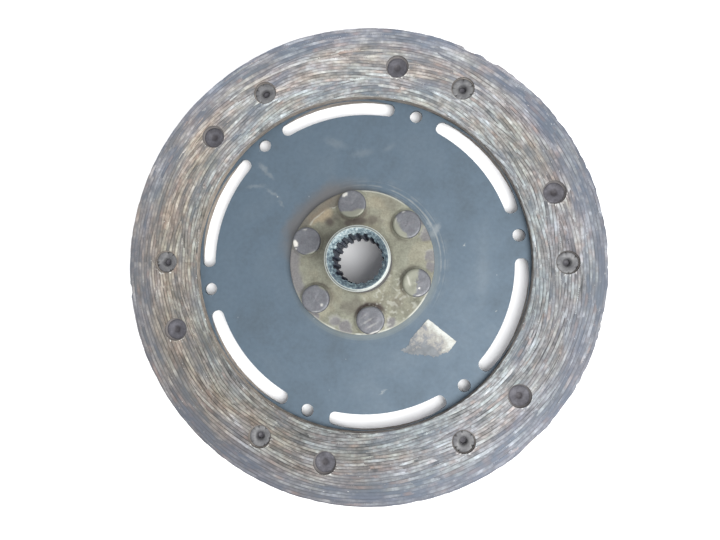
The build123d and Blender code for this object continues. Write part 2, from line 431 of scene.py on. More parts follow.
def ragged_rim(angle, seed, chips):
    """How far the rim is worn in at each angle: fraying, more on one side, and a few larger chips."""
    rougher = 1 + 1.1 * towards(angle, 5, 0.5, 1.3)
    fray = 0.18 * MM * rougher * edge_noise(angle, 330, seed) ** 2
    fray += 0.16 * MM * rougher * edge_noise(angle, 60, seed + 1) ** 1.5
    for centre, half_width, reach in chips:
        bite = towards(angle, centre, 0.35 * half_width, half_width)
        rough = 0.6 + 0.6 * edge_noise(angle, 420, seed + 2)
        fray += reach * bite * rough
    return fray


def triangles_between(points, edges, keep):
    """Triangles of a plane set of points that keep accepts by their centres, turned to face up."""
    flat = [Vector(p) for p in points]
    found = delaunay_2d_cdt(flat, edges, [], 0, 1e-9)
    if len(found[0]) != len(points):
        raise RuntimeError("two points of a facing fell together")
    corners = np.array(found[2])
    xy = np.array(points)
    centres = xy[corners].mean(axis=1)
    corners = corners[keep(centres[:, 0], centres[:, 1])]
    a, b, c = xy[corners[:, 0]], xy[corners[:, 1]], xy[corners[:, 2]]
    turned = (b[:, 0] - a[:, 0]) * (c[:, 1] - a[:, 1]) < (b[:, 1] - a[:, 1]) * (c[:, 0] - a[:, 0])
    corners[turned] = corners[turned][:, ::-1]
    return corners


def loop_edges(loop):
    """The edges of a closed loop of vertex numbers."""
    return [(loop[i], loop[(i + 1) % len(loop)]) for i in range(len(loop))]


def clear_of(holes, x, y, radius):
    """Which points lie outside the circles of a radius round some places."""
    return np.all([np.hypot(x - hole[0], y - hole[1]) > radius for hole in holes], axis=0)


def build_facing(node, outward, seed, chips, material):
    """One facing as a closed mesh with laid yarns, ragged rims and stepped rivet holes."""
    settings = bpy.context.scene.clutch_facing
    winding = Winding(settings, seed)
    low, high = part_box(node)
    thickness = high.z - low.z
    mating = low.z if outward > 0 else high.z
    holes = [node_centre(name) for name in FACING_RIVETS]
    angles = full_turn(MESH_COLUMNS)
    rim_wear = ragged_rim(angles, seed, chips)
    bore_wear = ragged_rim(angles, seed + 20, ())

    points, heights, faces = [], [], []

    def add_loop(x, y, height):
        start = len(points)
        points.extend(zip(x, y))
        heights.extend(np.broadcast_to(height, len(x)))
        return list(range(start, start + len(x)))

    def ring(radius, height):
        return add_loop(*on_circle(radius, angles), height)

    def circle(centre, radius, height):
        x, y = on_circle(radius, full_turn(HOLE_FACETS))
        return add_loop(centre[0] + x, centre[1] + y, height)

    # Rubbing face: the two rims, the recess mouths and a fine ring grid between them
    top_rim = ring(winding.outer - RIM_INSET - rim_wear, 0)
    top_bore = ring(winding.inner + BORE_INSET + bore_wear, 0)
    mouths = [circle(hole, settings.recess_radius, 0) for hole in holes]
    rows = np.linspace(winding.inner, winding.outer, MESH_ROWS + 2)[1:-1]
    for number, radius in enumerate(rows):
        turn = angles + (number % 2) * math.pi / MESH_COLUMNS
        x, y = on_circle(radius, turn)
        inside = (radius < winding.outer - rim_wear - 0.35 * MM) & (
            radius > winding.inner + bore_wear + 0.35 * MM
        )
        inside &= clear_of(holes, x, y, settings.recess_radius + 0.22 * MM)
        add_loop(x[inside], y[inside], 0)
    edges = [edge for loop in (top_rim, top_bore, *mouths) for edge in loop_edges(loop)]

    def on_rubbing_face(x, y):
        radius, angle = np.hypot(x, y), np.arctan2(y, x) % TURN
        rim, bore = (
            np.interp(
                angle / TURN * MESH_COLUMNS, np.arange(MESH_COLUMNS + 1), np.append(wear, wear[0]),
            )
            for wear in (rim_wear, bore_wear)
        )
        keep = (radius < winding.outer - RIM_INSET - rim) & (radius > winding.inner + BORE_INSET + bore)
        return keep & clear_of(holes, x, y, settings.recess_radius)

    rubbing = triangles_between(points, edges, on_rubbing_face)
    xy = np.array(points)
    radius, angle = polar(xy)
    depth = winding.depth(radius, angle)
    heights = list(thickness - depth)
    faces.extend(tuple(t) for t in rubbing.tolist())

    # Rim and bore walls, with fibres standing out between the rows
    wall_rows = np.array([0.93, 0.80, 0.62, 0.45, 0.28, 0.12, 0.0])
    previous, inner_previous = top_rim, top_bore
    for number, share in enumerate(wall_rows):
        layer_wear = 0.22 * MM * edge_noise(angles, 200, seed + 30 + number)
        chipped = rim_wear * smooth(share, 0.35, 0.9)
        outer_row = ring(winding.outer - layer_wear - chipped, share * thickness)
        inner_row = ring(winding.inner + 0.6 * layer_wear, share * thickness)
        faces.extend(bridge(outer_row, previous))
        faces.extend(bridge(inner_previous, inner_row))
        previous, inner_previous = outer_row, inner_row

    # Recess walls, dust packed round the rivets, and the shank holes down to the mating face
    bottoms = []
    for number, (hole, mouth) in enumerate(zip(holes, mouths)):
        turn = full_turn(HOLE_FACETS)
        holds_head = (number % 2 == 1) == (outward > 0)
        filled = settings.recess_radius - (0.58 if holds_head else 0.40) * MM
        dust = (1.65 if holds_head else 2.2) * MM
        packed = 0.25 * MM * edge_noise(turn, 11, seed + 90 + number)
        steps = []
        for step, height in enumerate((2.8, 2.5, 2.3)):
            scuff = 0.08 * MM * edge_noise(turn, 17, seed + 60 + number * 3 + step)
            steps.append((settings.recess_radius + scuff, height * MM))
        steps += [(filled + 0.10 * MM, dust + packed), (filled, dust - 0.05 * MM + packed)]
        steps += [(filled, settings.recess_web), (settings.shank_hole_radius, settings.recess_web)]
        steps += [(settings.shank_hole_radius, 0)]
        above = mouth
        for reach, height in steps:
            below = circle(hole, reach, height)
            faces.extend(bridge(above, below))
            above = below
        bottoms.append(above)

    # Mating face, which lies on the plate
    flat_loops = [previous, inner_previous, *bottoms]
    numbers = [n for loop in flat_loops for n in loop]
    place = {n: i for i, n in enumerate(numbers)}
    flat_edges = [(place[a], place[b]) for loop in flat_loops for a, b in loop_edges(loop)]

    def on_mating_face(x, y):
        clear = clear_of(holes, x, y, settings.shank_hole_radius * 0.995)
        return clear & (np.hypot(x, y) > winding.inner)

    mating_face = triangles_between([points[n] for n in numbers], flat_edges, on_mating_face)
    faces.extend((numbers[a], numbers[c], numbers[b]) for a, b, c in mating_face.tolist())

    placed = [(x, y, mating + outward * h) for (x, y), h in zip(points, heights)]
    if outward < 0:
        faces = [face[::-1] for face in faces]
    piece = add_piece(f"{node}_worn", placed, faces, material, 50)
    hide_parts(node)

    # Where each vertex lies: how deep in the surface, and whether it is on the rubbing face
    others = len(points) - len(depth)
    on_face = np.pad(np.ones(len(depth)), (0, others))
    point_values(piece, "worn_depth", np.pad(depth, (0, others)) / MM)
    point_values(piece, "rubbing_face", on_face)
    flat = np.array(points)
    flat_radius, flat_angle = polar(flat)
    gaps = [np.hypot(flat[:, 0] - x, flat[:, 1] - y) for x, y in holes]
    from_hole, nearest = np.min(gaps, axis=0), np.argmin(gaps, axis=0)
    # A pocket that holds a head is deeper, so it is painted darker, as painted shade, than one that
    # holds a tail.
    sooty = np.where((nearest % 2 == 1) == (outward > 0), 0.9, 0.4)
    pocket = np.where(from_hole < settings.recess_radius + 0.15 * MM, sooty, 0.0)
    point_values(piece, "pocket", pocket * (1 - on_face))
    # Painted glints gather on one side of each recess, and along the bore's rim.
    away = (flat - np.array(holes)[nearest]) / from_hole[:, None]
    toward_glint_side = smooth(away @ np.array(GLINT_SIDE), -0.1, 0.6)
    by_hole = toward_glint_side * (1 - smooth(from_hole - settings.recess_radius, 0.1 * MM, 1.7 * MM))
    by_bore = 0.5 * (1 - smooth(flat_radius, winding.inner + 0.3 * MM, winding.inner + 2.0 * MM))
    point_values(piece, "frayed", np.maximum(by_hole, by_bore) * on_face)
    # The attribute wear holds that painted light and shade.
    for name, start, places in (("wear", 1.0, FACE_PAINTED_LIGHT), ("oiled", 0.0, FACE_WARMTH_AND_WALL_LIGHT)):
        share = np.full(len(points), start)
        for degrees, half_width, amount in places:
            gap = np.degrees(polar_gap(flat_angle, math.radians(degrees)))
            share += amount * (1 - smooth(gap, 0.2 * half_width, half_width))
        point_values(piece, name, share)
    lay_yarn_map(piece, winding, len(rubbing))


def lay_yarn_map(piece, winding, face_count):
    """A UV map that runs with the yarns: U is millimetres along, and V counts yarns across.

    The first face_count faces are the rubbing face; the others read a part of their own.
    """
    mesh = piece.data
    loops = len(mesh.loops)
    vertex = np.empty(loops, int)
    mesh.loops.foreach_get("vertex_index", vertex)
    starts = np.empty(len(mesh.polygons), int)
    totals = np.empty(len(mesh.polygons), int)
    mesh.polygons.foreach_get("loop_start", starts)
    mesh.polygons.foreach_get("loop_total", totals)
    places = np.empty(len(mesh.vertices) * 3)
    mesh.vertices.foreach_get("co", places)
    places = places.reshape(-1, 3)
    centre = np.add.reduceat(places[vertex], starts) / totals[:, None]
    centre_radius, centre_angle = polar(centre)
    face_of_loop = np.repeat(np.arange(len(totals)), totals)
    corner = places[vertex]
    radius, angle = polar(corner)
    # A face that spans the half turn keeps its corners together.
    jump = angle - centre_angle[face_of_loop]
    angle = angle - TURN * np.round(jump / TURN)
    layer = winding.top_layer(centre_radius, centre_angle)[face_of_loop]
    across = np.zeros(loops)
    for number in range(YARN_LAYERS):
        chosen = layer == number
        across[chosen] = winding.across(number, radius[chosen], angle[chosen])
    across += layer * LAYER_STRIDE
    side = np.arange(len(totals))[face_of_loop] >= face_count
    heights = corner[:, 2] / MM
    across[side] = YARN_LAYERS * LAYER_STRIDE + 10 + heights[side] * 1.4
    along = angle * (winding.inner + winding.outer) / 2 / MM
    uv = mesh.uv_layers.new(name="yarn_map")
    values = np.column_stack([along, across]).astype(np.float32)
    uv.data.foreach_set("uv", values.ravel())


def yarn_material(settings):
    """Friction material of wound glass yarn in resin, ground by use: dull, streaky and dry."""
    material, add = new_material("wound_yarn_friction_facing")
    uv = add("SeparateXYZ", add("UVMap", uv_map="yarn_map"))
    along, across = (uv, "X"), (uv, "Y")
    yarn = add("Math FLOOR", across)
    within = add("Math FRACT", across)

    def streaks(row, length, **more):
        """Noise stretched along the yarns, over a length in millimetres."""
        stretched = add("CombineXYZ", X=add("Math MULTIPLY", along, 1 / length), Y=row)
        return add("TexNoise 2D", stretched, Scale=1.0, **more)

    # Each yarn has its own row of noise, so its tone changes only along it.
    row = add("Math MULTIPLY", yarn, 7.37)
    yarn_tone = streaks(row, 14, Detail=5.0, Roughness=0.62)
    yarn_colour = add(
        "ValToRGB", yarn_tone,
        stops=[
            (0.28, "#504E4D"), (0.40, "#68635F"), (0.47, "#766F6A"), (0.53, "#817D79"),
            (0.59, (*settings.tan, 1.0)), (0.66, "#908E8A"), (0.76, "#A09E9A"),
        ],
    )
    # Fibres inside a yarn, about a fifth of it wide and a few millimetres long
    fibre = streaks(add("Math MULTIPLY", across, 3.6), 2, Detail=4.0, Roughness=0.6)
    fibre_shade = add("MapRange", fibre, 0.3, 0.72, 0.71, 1.19)
    # The groove between two yarns is painted dark, as painted shade, and darker still here and there,
    # where it is painted as opened.
    seam_row = add("Math MULTIPLY", add("Math ROUND", across), 5.31)
    seam_floor = add("MapRange", streaks(seam_row, 16, Detail=3.0), 0.50, 0.66, 0.72, 0.26)
    # The attribute wear is painted light and shade: lighter to the top and lower right, darker to the
    # lower left.
    wear = add("Attribute", attribute_name="wear")
    seam_level = add("Math MULTIPLY", seam_floor, add("MapRange", wear, 0.78, 1.1, 0.62, 0.95))
    from_middle = add("Math ABSOLUTE", add("Math SUBTRACT", within, 0.5))
    groove = add("MapRange SMOOTHSTEP", from_middle, 0.28, 0.5, 1.0, seam_level)
    sunk = add("MapRange", add("Attribute", attribute_name="worn_depth"), 0.05, 0.32, 1.18, 0.76)
    # Each yarn is darker and lighter every few millimetres: painted shade where it dips under its
    # neighbours.
    dip = streaks(add("Math ADD", row, 31.7), 3, Detail=2.0)
    dip_shaded = add("Math MULTIPLY", groove, add("MapRange", dip, 0.3, 0.7, 0.80, 1.19))
    shade_one = add("Math MULTIPLY", fibre_shade, dip_shaded)
    raw_shade = add("Math MULTIPLY", add("Math MULTIPLY", shade_one, sunk), wear)
    # Patches about 20 mm long and 6 mm wide. Their noise is read on a cylinder that is as high
    # as the radius, so they join up all round.
    _, _, planar, radius = disc_places(add)
    around = add("VectorMath NORMALIZE", planar)
    lift = add("CombineXYZ", Z=add("Math MULTIPLY", radius, 1 / (6 * MM)))
    patch_place = add("VectorMath MULTIPLY_ADD", around, (3.8, 3.8, 0.0), lift)
    patch = add("TexNoise", patch_place, Scale=1.0, Detail=4.0, Roughness=0.6)
    patches = add("SeparateColor", (patch, "Color"))
    # Glaze: a smooth burnt film over the outer band and in patches
    rim_band = add(
        "MapRange SMOOTHSTEP", radius, DISC_RADIUS - 11 * MM, DISC_RADIUS - 4 * MM, 0.0, 0.56,
    )
    drift_amount = add("MapRange SMOOTHSTEP", (patches, "Red"), 0.44, 0.66, 0.0, 0.6)
    film = add("Math ADD", rim_band, drift_amount)
    film_break = add("MapRange", yarn_tone, 0.4, 0.66, 1.25, 0.4)
    film_amount = add("Math MULTIPLY", film, film_break, use_clamp=True)
    glazed = add("Mix RGBA", film_amount, A=yarn_colour, B=(*settings.glaze, 1.0))
    # The film fills the grooves, so it evens the shade out.
    film_shade = add("Math MULTIPLY", film_amount, 0.7)
    shade = add("Mix FLOAT", film_shade, A=raw_shade, B=add("Math MULTIPLY_ADD", wear, 0.5, 0.31))
    # Heat has left the middle band tan and the rims blue-grey; oil has left one side warmer.
    reach = add("MapRange", radius, DISC_RADIUS - settings.width, DISC_RADIUS)
    band = add(
        "ValToRGB", reach,
        stops=[
            (0.05, grey(0.12)), (0.25, grey(0.22)), (0.40, grey(0.48)), (0.66, grey(0.44)),
            (0.82, grey(0.12)),
        ],
    )
    oiled = add("Attribute", attribute_name="oiled")
    warm_base = add("Math ADD", band, oiled)
    warm_patch = add("MapRange", (patches, "Green"), 0.0, 1.0, -1.1, 1.1)
    warmth = add("Math ADD", warm_base, warm_patch, use_clamp=True)
    warm_tint = add("Mix RGBA", warmth, A=(0.905, 1.0, 1.12, 1.0), B=(1.07, 1.0, 0.89, 1.0))
    green_base = add("MapRange", reach, 0.0, 1.0, 0.95, 0.0)
    green_patch = add("MapRange", (patches, "Blue"), 0.0, 1.0, -1.2, 1.2)
    greenness = add("Math ADD", green_base, green_patch, use_clamp=True)
    green_tint = add("Mix RGBA", greenness, A=(1.015, 0.98, 1.015, 1.0), B=(0.98, 1.022, 0.985, 1.0))
    tinted = add("VectorMath MULTIPLY", glazed, add("VectorMath MULTIPLY", warm_tint, green_tint))
    # Copper-pink wire rubbed bare in some yarns, about 5 mm long
    fleck = streaks(row, 9, Detail=2.0)
    flecked = add("Mix RGBA", add("MapRange", fleck, 0.60, 0.78, 0.0, 0.34), A=tinted, B="#8C7468")
    shaded = add("VectorMath SCALE", flecked, Scale=shade)
    # Broken glass filaments: white dashes about 1 mm long, partly white fibre and partly painted
    # glints, most of them on the lower side of each recess and along the bore's rim.
    dash_along = add("Math MULTIPLY", along, 1 / 1.4)
    dash_place = add("CombineXYZ", X=dash_along, Y=add("Math MULTIPLY", across, 2.2), Z=3.0)
    dash = add("TexNoise", dash_place, Scale=1.0, Detail=2.0, Roughness=0.55)
    dash_value = add("Math MULTIPLY_ADD", add("Attribute", attribute_name="frayed"), 0.15, dash)
    dash_amount = add("MapRange", dash_value, 0.70, 0.79, 0.0, 0.8)
    glinting = add("Mix RGBA", dash_amount, A=shaded, B="#CFCFCA")
    # Off the rubbing face the yarns are unworn. The walls are painted paler and tan to the left, as
    # painted light, and darker to the right, as painted shade, and the rivet pockets are painted dark,
    # as painted shade.
    face = add("Attribute", attribute_name="rubbing_face")
    side_painted_light = add("MapRange", oiled, -0.15, 0.25, 0.15, 0.7)
    side = add("Mix RGBA", side_painted_light, A=yarn_colour, B="#A2978A")
    side_shade = add("Math MULTIPLY", dip_shaded, add("MapRange", oiled, -0.15, 0.25, 0.75))
    shaded_side = add("VectorMath SCALE", side, Scale=side_shade)
    pocket = add("Attribute", attribute_name="pocket")
    # Painted shade in the rivet pockets.
    pocket_shade_colour = add("Mix RGBA", fibre, A="#4F4C4E", B="#6B6866")
    pocket_shaded_side = add("Mix RGBA", pocket, A=shaded_side, B=pocket_shade_colour)
    colour = add("Mix RGBA", face, A=pocket_shaded_side, B=glinting)
    roughness = add("MapRange", film_amount, 0.0, 1.0, 0.88, 0.58)
    bump = add("Bump", Strength=0.5, Distance=0.12 * MM, Height=shade_one)
    add(
        "OutputMaterial",
        Surface=add(
            "BsdfPrincipled", Base_Color=colour, Roughness=roughness, Normal=bump, IOR=1.5,
            Specular_IOR_Level=0.4,
        ),
    )
    return material


class CLUTCH_OT_facings(bpy.types.Operator):
    """Build the front and the rear friction facing."""

    bl_idname = "clutch.facings"
    bl_label = "Friction Facings"

    def execute(self, context):
        material = yarn_material(context.scene.clutch_facing)
        front_chips = (
            (57.5, 0.035, 0.7 * MM), (63, 0.04, 0.8 * MM), (187, 0.03, 0.5 * MM), (314, 0.04, 0.7 * MM),
        )
        rear_chips = ((22, 0.035, 0.5 * MM), (151, 0.04, 0.7 * MM), (248, 0.035, 0.6 * MM))
        build_facing("front_facing", 1, 3, front_chips, material)
        build_facing("rear_facing", -1, 4, rear_chips, material)
        return {"FINISHED"}


# ---- Turned and formed pieces ----


def lathe(profile, facets, centre, warp):
    """Points, faces and local places of a closed body turned about an axis at centre.

    The profile runs from the axis to the axis, as (radius, height) pairs, so that the body is
    on its left when it is walked from the top down. warp moves the points before they are placed.
    """
    turn = full_turn(facets)
    rings = []
    for radius, height in profile[1:-1]:
        rings.append(np.column_stack([*on_circle(radius, turn), np.full(facets, height)]))
    local = warp(np.concatenate([[(0, 0, profile[0][1])], *rings, [(0, 0, profile[-1][1])]]))
    loops = [list(range(1 + i * facets, 1 + (i + 1) * facets)) for i in range(len(rings))]
    last = len(local) - 1
    faces = [(0, loops[0][i], loops[0][(i + 1) % facets]) for i in range(facets)]
    for upper, lower in zip(loops, loops[1:]):
        faces.extend(bridge(lower, upper))
    faces.extend((last, loops[-1][(i + 1) % facets], loops[-1][i]) for i in range(facets))
    return local + np.array([centre[0], centre[1], 0]), faces, local


def arc(start, end, middle, steps):
    """Points of an arc through three points, both ends included."""
    (ax, ay), (bx, by), (cx, cy) = start, middle, end
    d = 2 * (ax * (by - cy) + bx * (cy - ay) + cx * (ay - by))
    ux = ((ax**2 + ay**2) * (by - cy) + (bx**2 + by**2) * (cy - ay) + (cx**2 + cy**2) * (ay - by)) / d
    uy = ((ax**2 + ay**2) * (cx - bx) + (bx**2 + by**2) * (ax - cx) + (cx**2 + cy**2) * (bx - ax)) / d
    first, last = math.atan2(ay - uy, ax - ux), math.atan2(cy - uy, cx - ux)
    mid = math.atan2(by - uy, bx - ux)
    span = (last - first) % TURN
    if (mid - first) % TURN > span:
        span -= TURN
    size = math.hypot(ax - ux, ay - uy)
    return [
        (ux + size * math.cos(first + span * i / steps), uy + size * math.sin(first + span * i / steps))
        for i in range(steps + 1)
    ]


def refine(profile, longest):
    """The profile with its long runs divided."""
    fine = [profile[0]]
    for (ax, ay), (bx, by) in zip(profile, profile[1:]):
        steps = max(1, math.ceil(math.hypot(bx - ax, by - ay) / longest))
        fine.extend(
            (ax + (bx - ax) * i / steps, ay + (by - ay) * i / steps) for i in range(1, steps + 1)
        )
    return fine


def bare_steel(name, base, dark, light, roughness, grain_mm, dirt):
    """Dull used steel: blotches a few millimetres wide, fine grain, dark dirt and painted shade where
    it is caked, and pale scuffs and painted highlights where it is pale.
    """
    material, add = new_material(name)
    place = add("TexCoord")
    blotch = add("TexNoise", place, Scale=1 / (2.6 * MM), Detail=4.0, Roughness=0.6)
    tone = add("ValToRGB", blotch, stops=[(0.30, dark), (0.50, base), (0.72, light)])
    grain = add("TexNoise", place, Scale=1 / (grain_mm * MM), Detail=2.0)
    colour = add("VectorMath SCALE", tone, Scale=add("MapRange", grain, 0.25, 0.75, 0.86, 1.14))
    # caked holds dirt, and on the facing rivets painted shade; pale holds scuffs, and on the hub rivets
    # painted highlights.
    dirt_and_shade = add("Mix RGBA", add("Attribute", attribute_name="caked"), A=colour, B=dirt)
    scuffed = add("Mix RGBA", add("Attribute", attribute_name="pale"), A=dirt_and_shade, B="#C6C4BC")
    dull = add("MapRange", blotch, 0.3, 0.7, roughness + 0.1, roughness - 0.08)
    bump = add("Bump", Strength=0.35, Distance=0.05 * MM, Height=grain)
    add(
        "OutputMaterial",
        Surface=add("BsdfPrincipled", Base_Color=scuffed, Metallic=0.35, Roughness=dull, Normal=bump),
    )
    return material


class CLUTCH_OT_facing_rivets(bpy.types.Operator):
    """Build the tubular rivets that hold the facings, with split and dented tails."""

    bl_idname = "clutch.facing_rivets"
    bl_label = "Facing Rivets"

    def execute(self, context):
        settings = context.scene.clutch_rivet
        facings = context.scene.clutch_facing
        # The last colour of each is the dark of dirt and of the painted shade in the tail's hole and
        # the head's dish.
        curled = bare_steel(
            "rolled_rivet_tail_steel", (*settings.tail_steel, 1.0), "#525254", "#717170", 0.6, 0.5,
            "#3E3C42",
        )
        flat = bare_steel(
            "pressed_rivet_head_steel", (*settings.head_steel, 1.0), "#403F44", "#5B5A60", 0.62, 0.5,
            "#2A2628",
        )
        middle = (PLATE_BOTTOM + PLATE_TOP) / 2
        for number, name in enumerate(FACING_RIVETS):
            head_up = number % 2 == 1
            self.build(name, number, head_up, middle, facings, settings, flat, curled)
        return {"FINISHED"}

    def build(self, name, number, head_up, middle, facings, settings, flat, curled):
        """One rivet, whose head is on the front or on the rear."""
        low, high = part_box(name)
        seat = (PLATE_TOP - PLATE_BOTTOM) / 2 + facings.recess_web
        head_top = (high.z - middle) if head_up else (middle - low.z)
        tail_top = (middle - low.z) if head_up else (high.z - middle)
        tail_radius = (high.x - low.x) / 2
        head_radius = tail_radius - 0.3 * MM
        shank, bore = facings.shank_hole_radius - 0.05 * MM, 1.1 * MM
        dished = (
            (0, 0.66), (0.5, 0.64), (0.9, 0.55), (1.3, 0.36), (1.9, 0.20), (2.6, 0.07), (3.2, 0.0),
        )
        profile = [(radius * MM, head_top - sink * MM) for radius, sink in dished]
        profile += [
            (head_radius - 0.45 * MM, head_top), (head_radius - 0.1 * MM, head_top - 0.1 * MM),
            (head_radius, head_top - 0.4 * MM), (head_radius, seat), (shank, seat), (shank, -seat),
            (tail_radius * 0.97, -seat),
        ]
        profile += arc(
            (tail_radius, -tail_top + 0.5 * MM), (tail_radius - 0.5 * MM, -tail_top + 0.03 * MM),
            (tail_radius - 0.14 * MM, -tail_top + 0.16 * MM), 5,
        )
        # The tail flares like a trumpet from the bore.
        flare = (
            (3.3, 0.0), (2.9, 0.04), (2.5, 0.11), (2.1, 0.23), (1.75, 0.42), (1.45, 0.8), (1.22, 1.5),
        )
        profile += [(radius * MM, -tail_top + sink * MM) for radius, sink in flare]
        profile += [(bore, -seat + 1.1 * MM), (0, -seat + 1.3 * MM)]
        numbers = np.random.default_rng(200 + number)
        splits = numbers.uniform(0, TURN / 6, 6) + np.arange(6) * TURN / 6
        deep = numbers.uniform(0.4, 1.0, 6)
        tilt = numbers.uniform(0, TURN)

        def warp(points):
            radius, turn = polar(points)
            tail = smooth(-points[:, 2], seat - 0.1 * MM, seat + 0.1 * MM)
            outer = smooth(radius, 2.4 * MM, tail_radius)
            notch = sum(
                share * np.exp(-((polar_gap(turn, split) / 0.07) ** 2))
                for split, share in zip(splits, deep)
            )
            uneven = edge_noise(turn, 9, 400 + number)
            shrink = 1 - tail * outer * (0.08 * notch + 0.05 * uneven)
            points[:, 0] *= shrink
            points[:, 1] *= shrink
            press = 0.22 * (1 + np.cos(turn - tilt)) / 2 + 0.15 * uneven + 0.5 * outer * notch
            points[:, 2] += tail * press * MM
            head = smooth(points[:, 2], seat, head_top)
            middle_share = head * (1 - smooth(radius, 0.7 * MM, 2.6 * MM))
            points[:, 0] += 0.45 * MM * middle_share * math.cos(tilt)
            points[:, 1] += 0.45 * MM * middle_share * math.sin(tilt)
            dents = ring_noise(radius, turn, 1.3 * MM, 7, 500 + number)
            points[:, 2] -= head * 0.12 * MM * dents
            return points

        points, faces, local = lathe(
            refine(profile, 0.35 * MM), settings.around, node_centre(name), warp,
        )
        side = 1 if head_up else -1
        points[:, 2] = middle + side * points[:, 2]
        if side < 0:
            faces = [face[::-1] for face in faces]
        piece = add_piece(f"{name}_worn", points, faces, flat)
        piece.data.materials.append(curled)
        on_tail = local[:, 2] < 0
        for polygon in piece.data.polygons:
            polygon.material_index = int(all(on_tail[v] for v in polygon.vertices))
        radius, turn = polar(local)
        # Painted shade: the tail's hole is painted darker with depth, and the middle of the head's dish
        # darker; the head's rim is a little darker, and blots of dirt lie on both.
        sunk = smooth(local[:, 2] + tail_top, 0.7 * MM, 2.6 * MM) * (radius < 2.3 * MM)
        shade = np.where(local[:, 2] < 0, 1.3 * sunk, 1.2 * (1 - smooth(radius, 0.8 * MM, 1.9 * MM)))
        edge = smooth(radius, head_radius - 0.4 * MM, head_radius) * 0.25 * (local[:, 2] > 0)
        blot = 0.5 * smooth(ring_noise(radius, turn, 1.5 * MM, 6, 600 + number), 0.55, 0.8)
        point_values(piece, "caked", np.clip(0.55 * shade + 0.6 * edge + blot * 0.4, 0, 1))
        point_values(piece, "pale", np.zeros(len(points)))
        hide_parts(name)


HUB_RIVET_RADIUS = 5.3 * MM
# Which side of a hub rivet's head holds caked grime, and how much: (degrees, share), by the
# rivet's own angle round the hub
HUB_RIVET_GRIME = {
    98: (272, 0.27), 39: (212, 0.27), 340: (170, 0.50), 279: (100, 0.05), 219: (60, 0.02),
    160: (285, 0.08),
}
# How much darker the flange is between each hub rivet and the nose, in the same way
CRESCENTS = {98: 0.6, 39: 0.25, 340: 0.35, 279: 1.0, 219: 0.4, 160: 0.3}
# Pale scuffs and dried flecks on the hub rivets, and painted highlights along their lower rims and
# on the bottom head: x, y, length, width, degrees, in millimetres, and how pale
HEAD_SCUFFS_AND_HIGHLIGHTS = (
    (-24.7, 6.6, 2.6, 1.9, 95, 1.0),
    (-24.5, 4.8, 1.1, 0.8, 20, 0.8),
    (-21.2, 12.0, 1.7, 0.9, 5, 0.45),
    (-6.2, 25.2, 2.6, 1.5, 35, 0.75),
    (15.7, 18.6, 1.5, 0.7, 12, 0.5),
    (13.0, 15.8, 4.2, 0.5, 75, 0.25),
    (21.5, -9.7, 0.7, 0.6, 0, 0.9),
    (21.4, -12.3, 2.6, 0.6, 15, 0.45),
    (17.6, -7.0, 5.4, 0.9, 108, 0.30),
    (-14.6, -16.2, 1.5, 1.3, 60, 0.5),
    (-16.6, -18.6, 4.4, 0.6, 5, 0.25),
    (5.2, -26.0, 6.0, 0.7, 22, 0.6),
    (2.6, -21.9, 5.6, 0.9, 32, 0.20),
    (4.4, -23.4, 5.2, 0.8, 30, 0.22),
    (1.2, -20.1, 3.0, 0.7, 38, 0.15),
)


def nearest_side(table, centre):
    """The value, in a table by degrees round the hub, that is nearest to a place."""
    angle = math.degrees(math.atan2(centre[1], centre[0])) % 360
    return table[min(table, key=lambda side: abs((angle - side + 180) % 360 - 180))]


def blots(x, y, places, rough, start=0.35, end=1.25):
    """How strong the strongest of some soft-edged oval places is at each point."""
    share = np.zeros_like(x)
    for centre_x, centre_y, length, width, degrees, strength in places:
        c, s = math.cos(math.radians(degrees)), math.sin(math.radians(degrees))
        dx, dy = x / MM - centre_x, y / MM - centre_y
        away = np.hypot((dx * c + dy * s) / length * 2, (dy * c - dx * s) / width * 2)
        share = np.maximum(share, strength * (1 - smooth(away + 0.7 * (rough - 0.5), start, end)))
    return share


def scuff_and_highlight_share(x, y, seed):
    """How pale each place on the rivet heads is, by scuffs and painted highlights; the strong ones have
    hard edges.
    """
    rough = ring_noise(np.hypot(x, y), np.arctan2(y, x), 0.7 * MM, 160, seed)
    strong = [scuff for scuff in HEAD_SCUFFS_AND_HIGHLIGHTS if scuff[-1] > 0.6]
    faint = [scuff for scuff in HEAD_SCUFFS_AND_HIGHLIGHTS if scuff[-1] <= 0.6]
    return np.maximum(blots(x, y, strong, rough, 0.7, 1.2), blots(x, y, faint, rough, 0.2, 1.2))


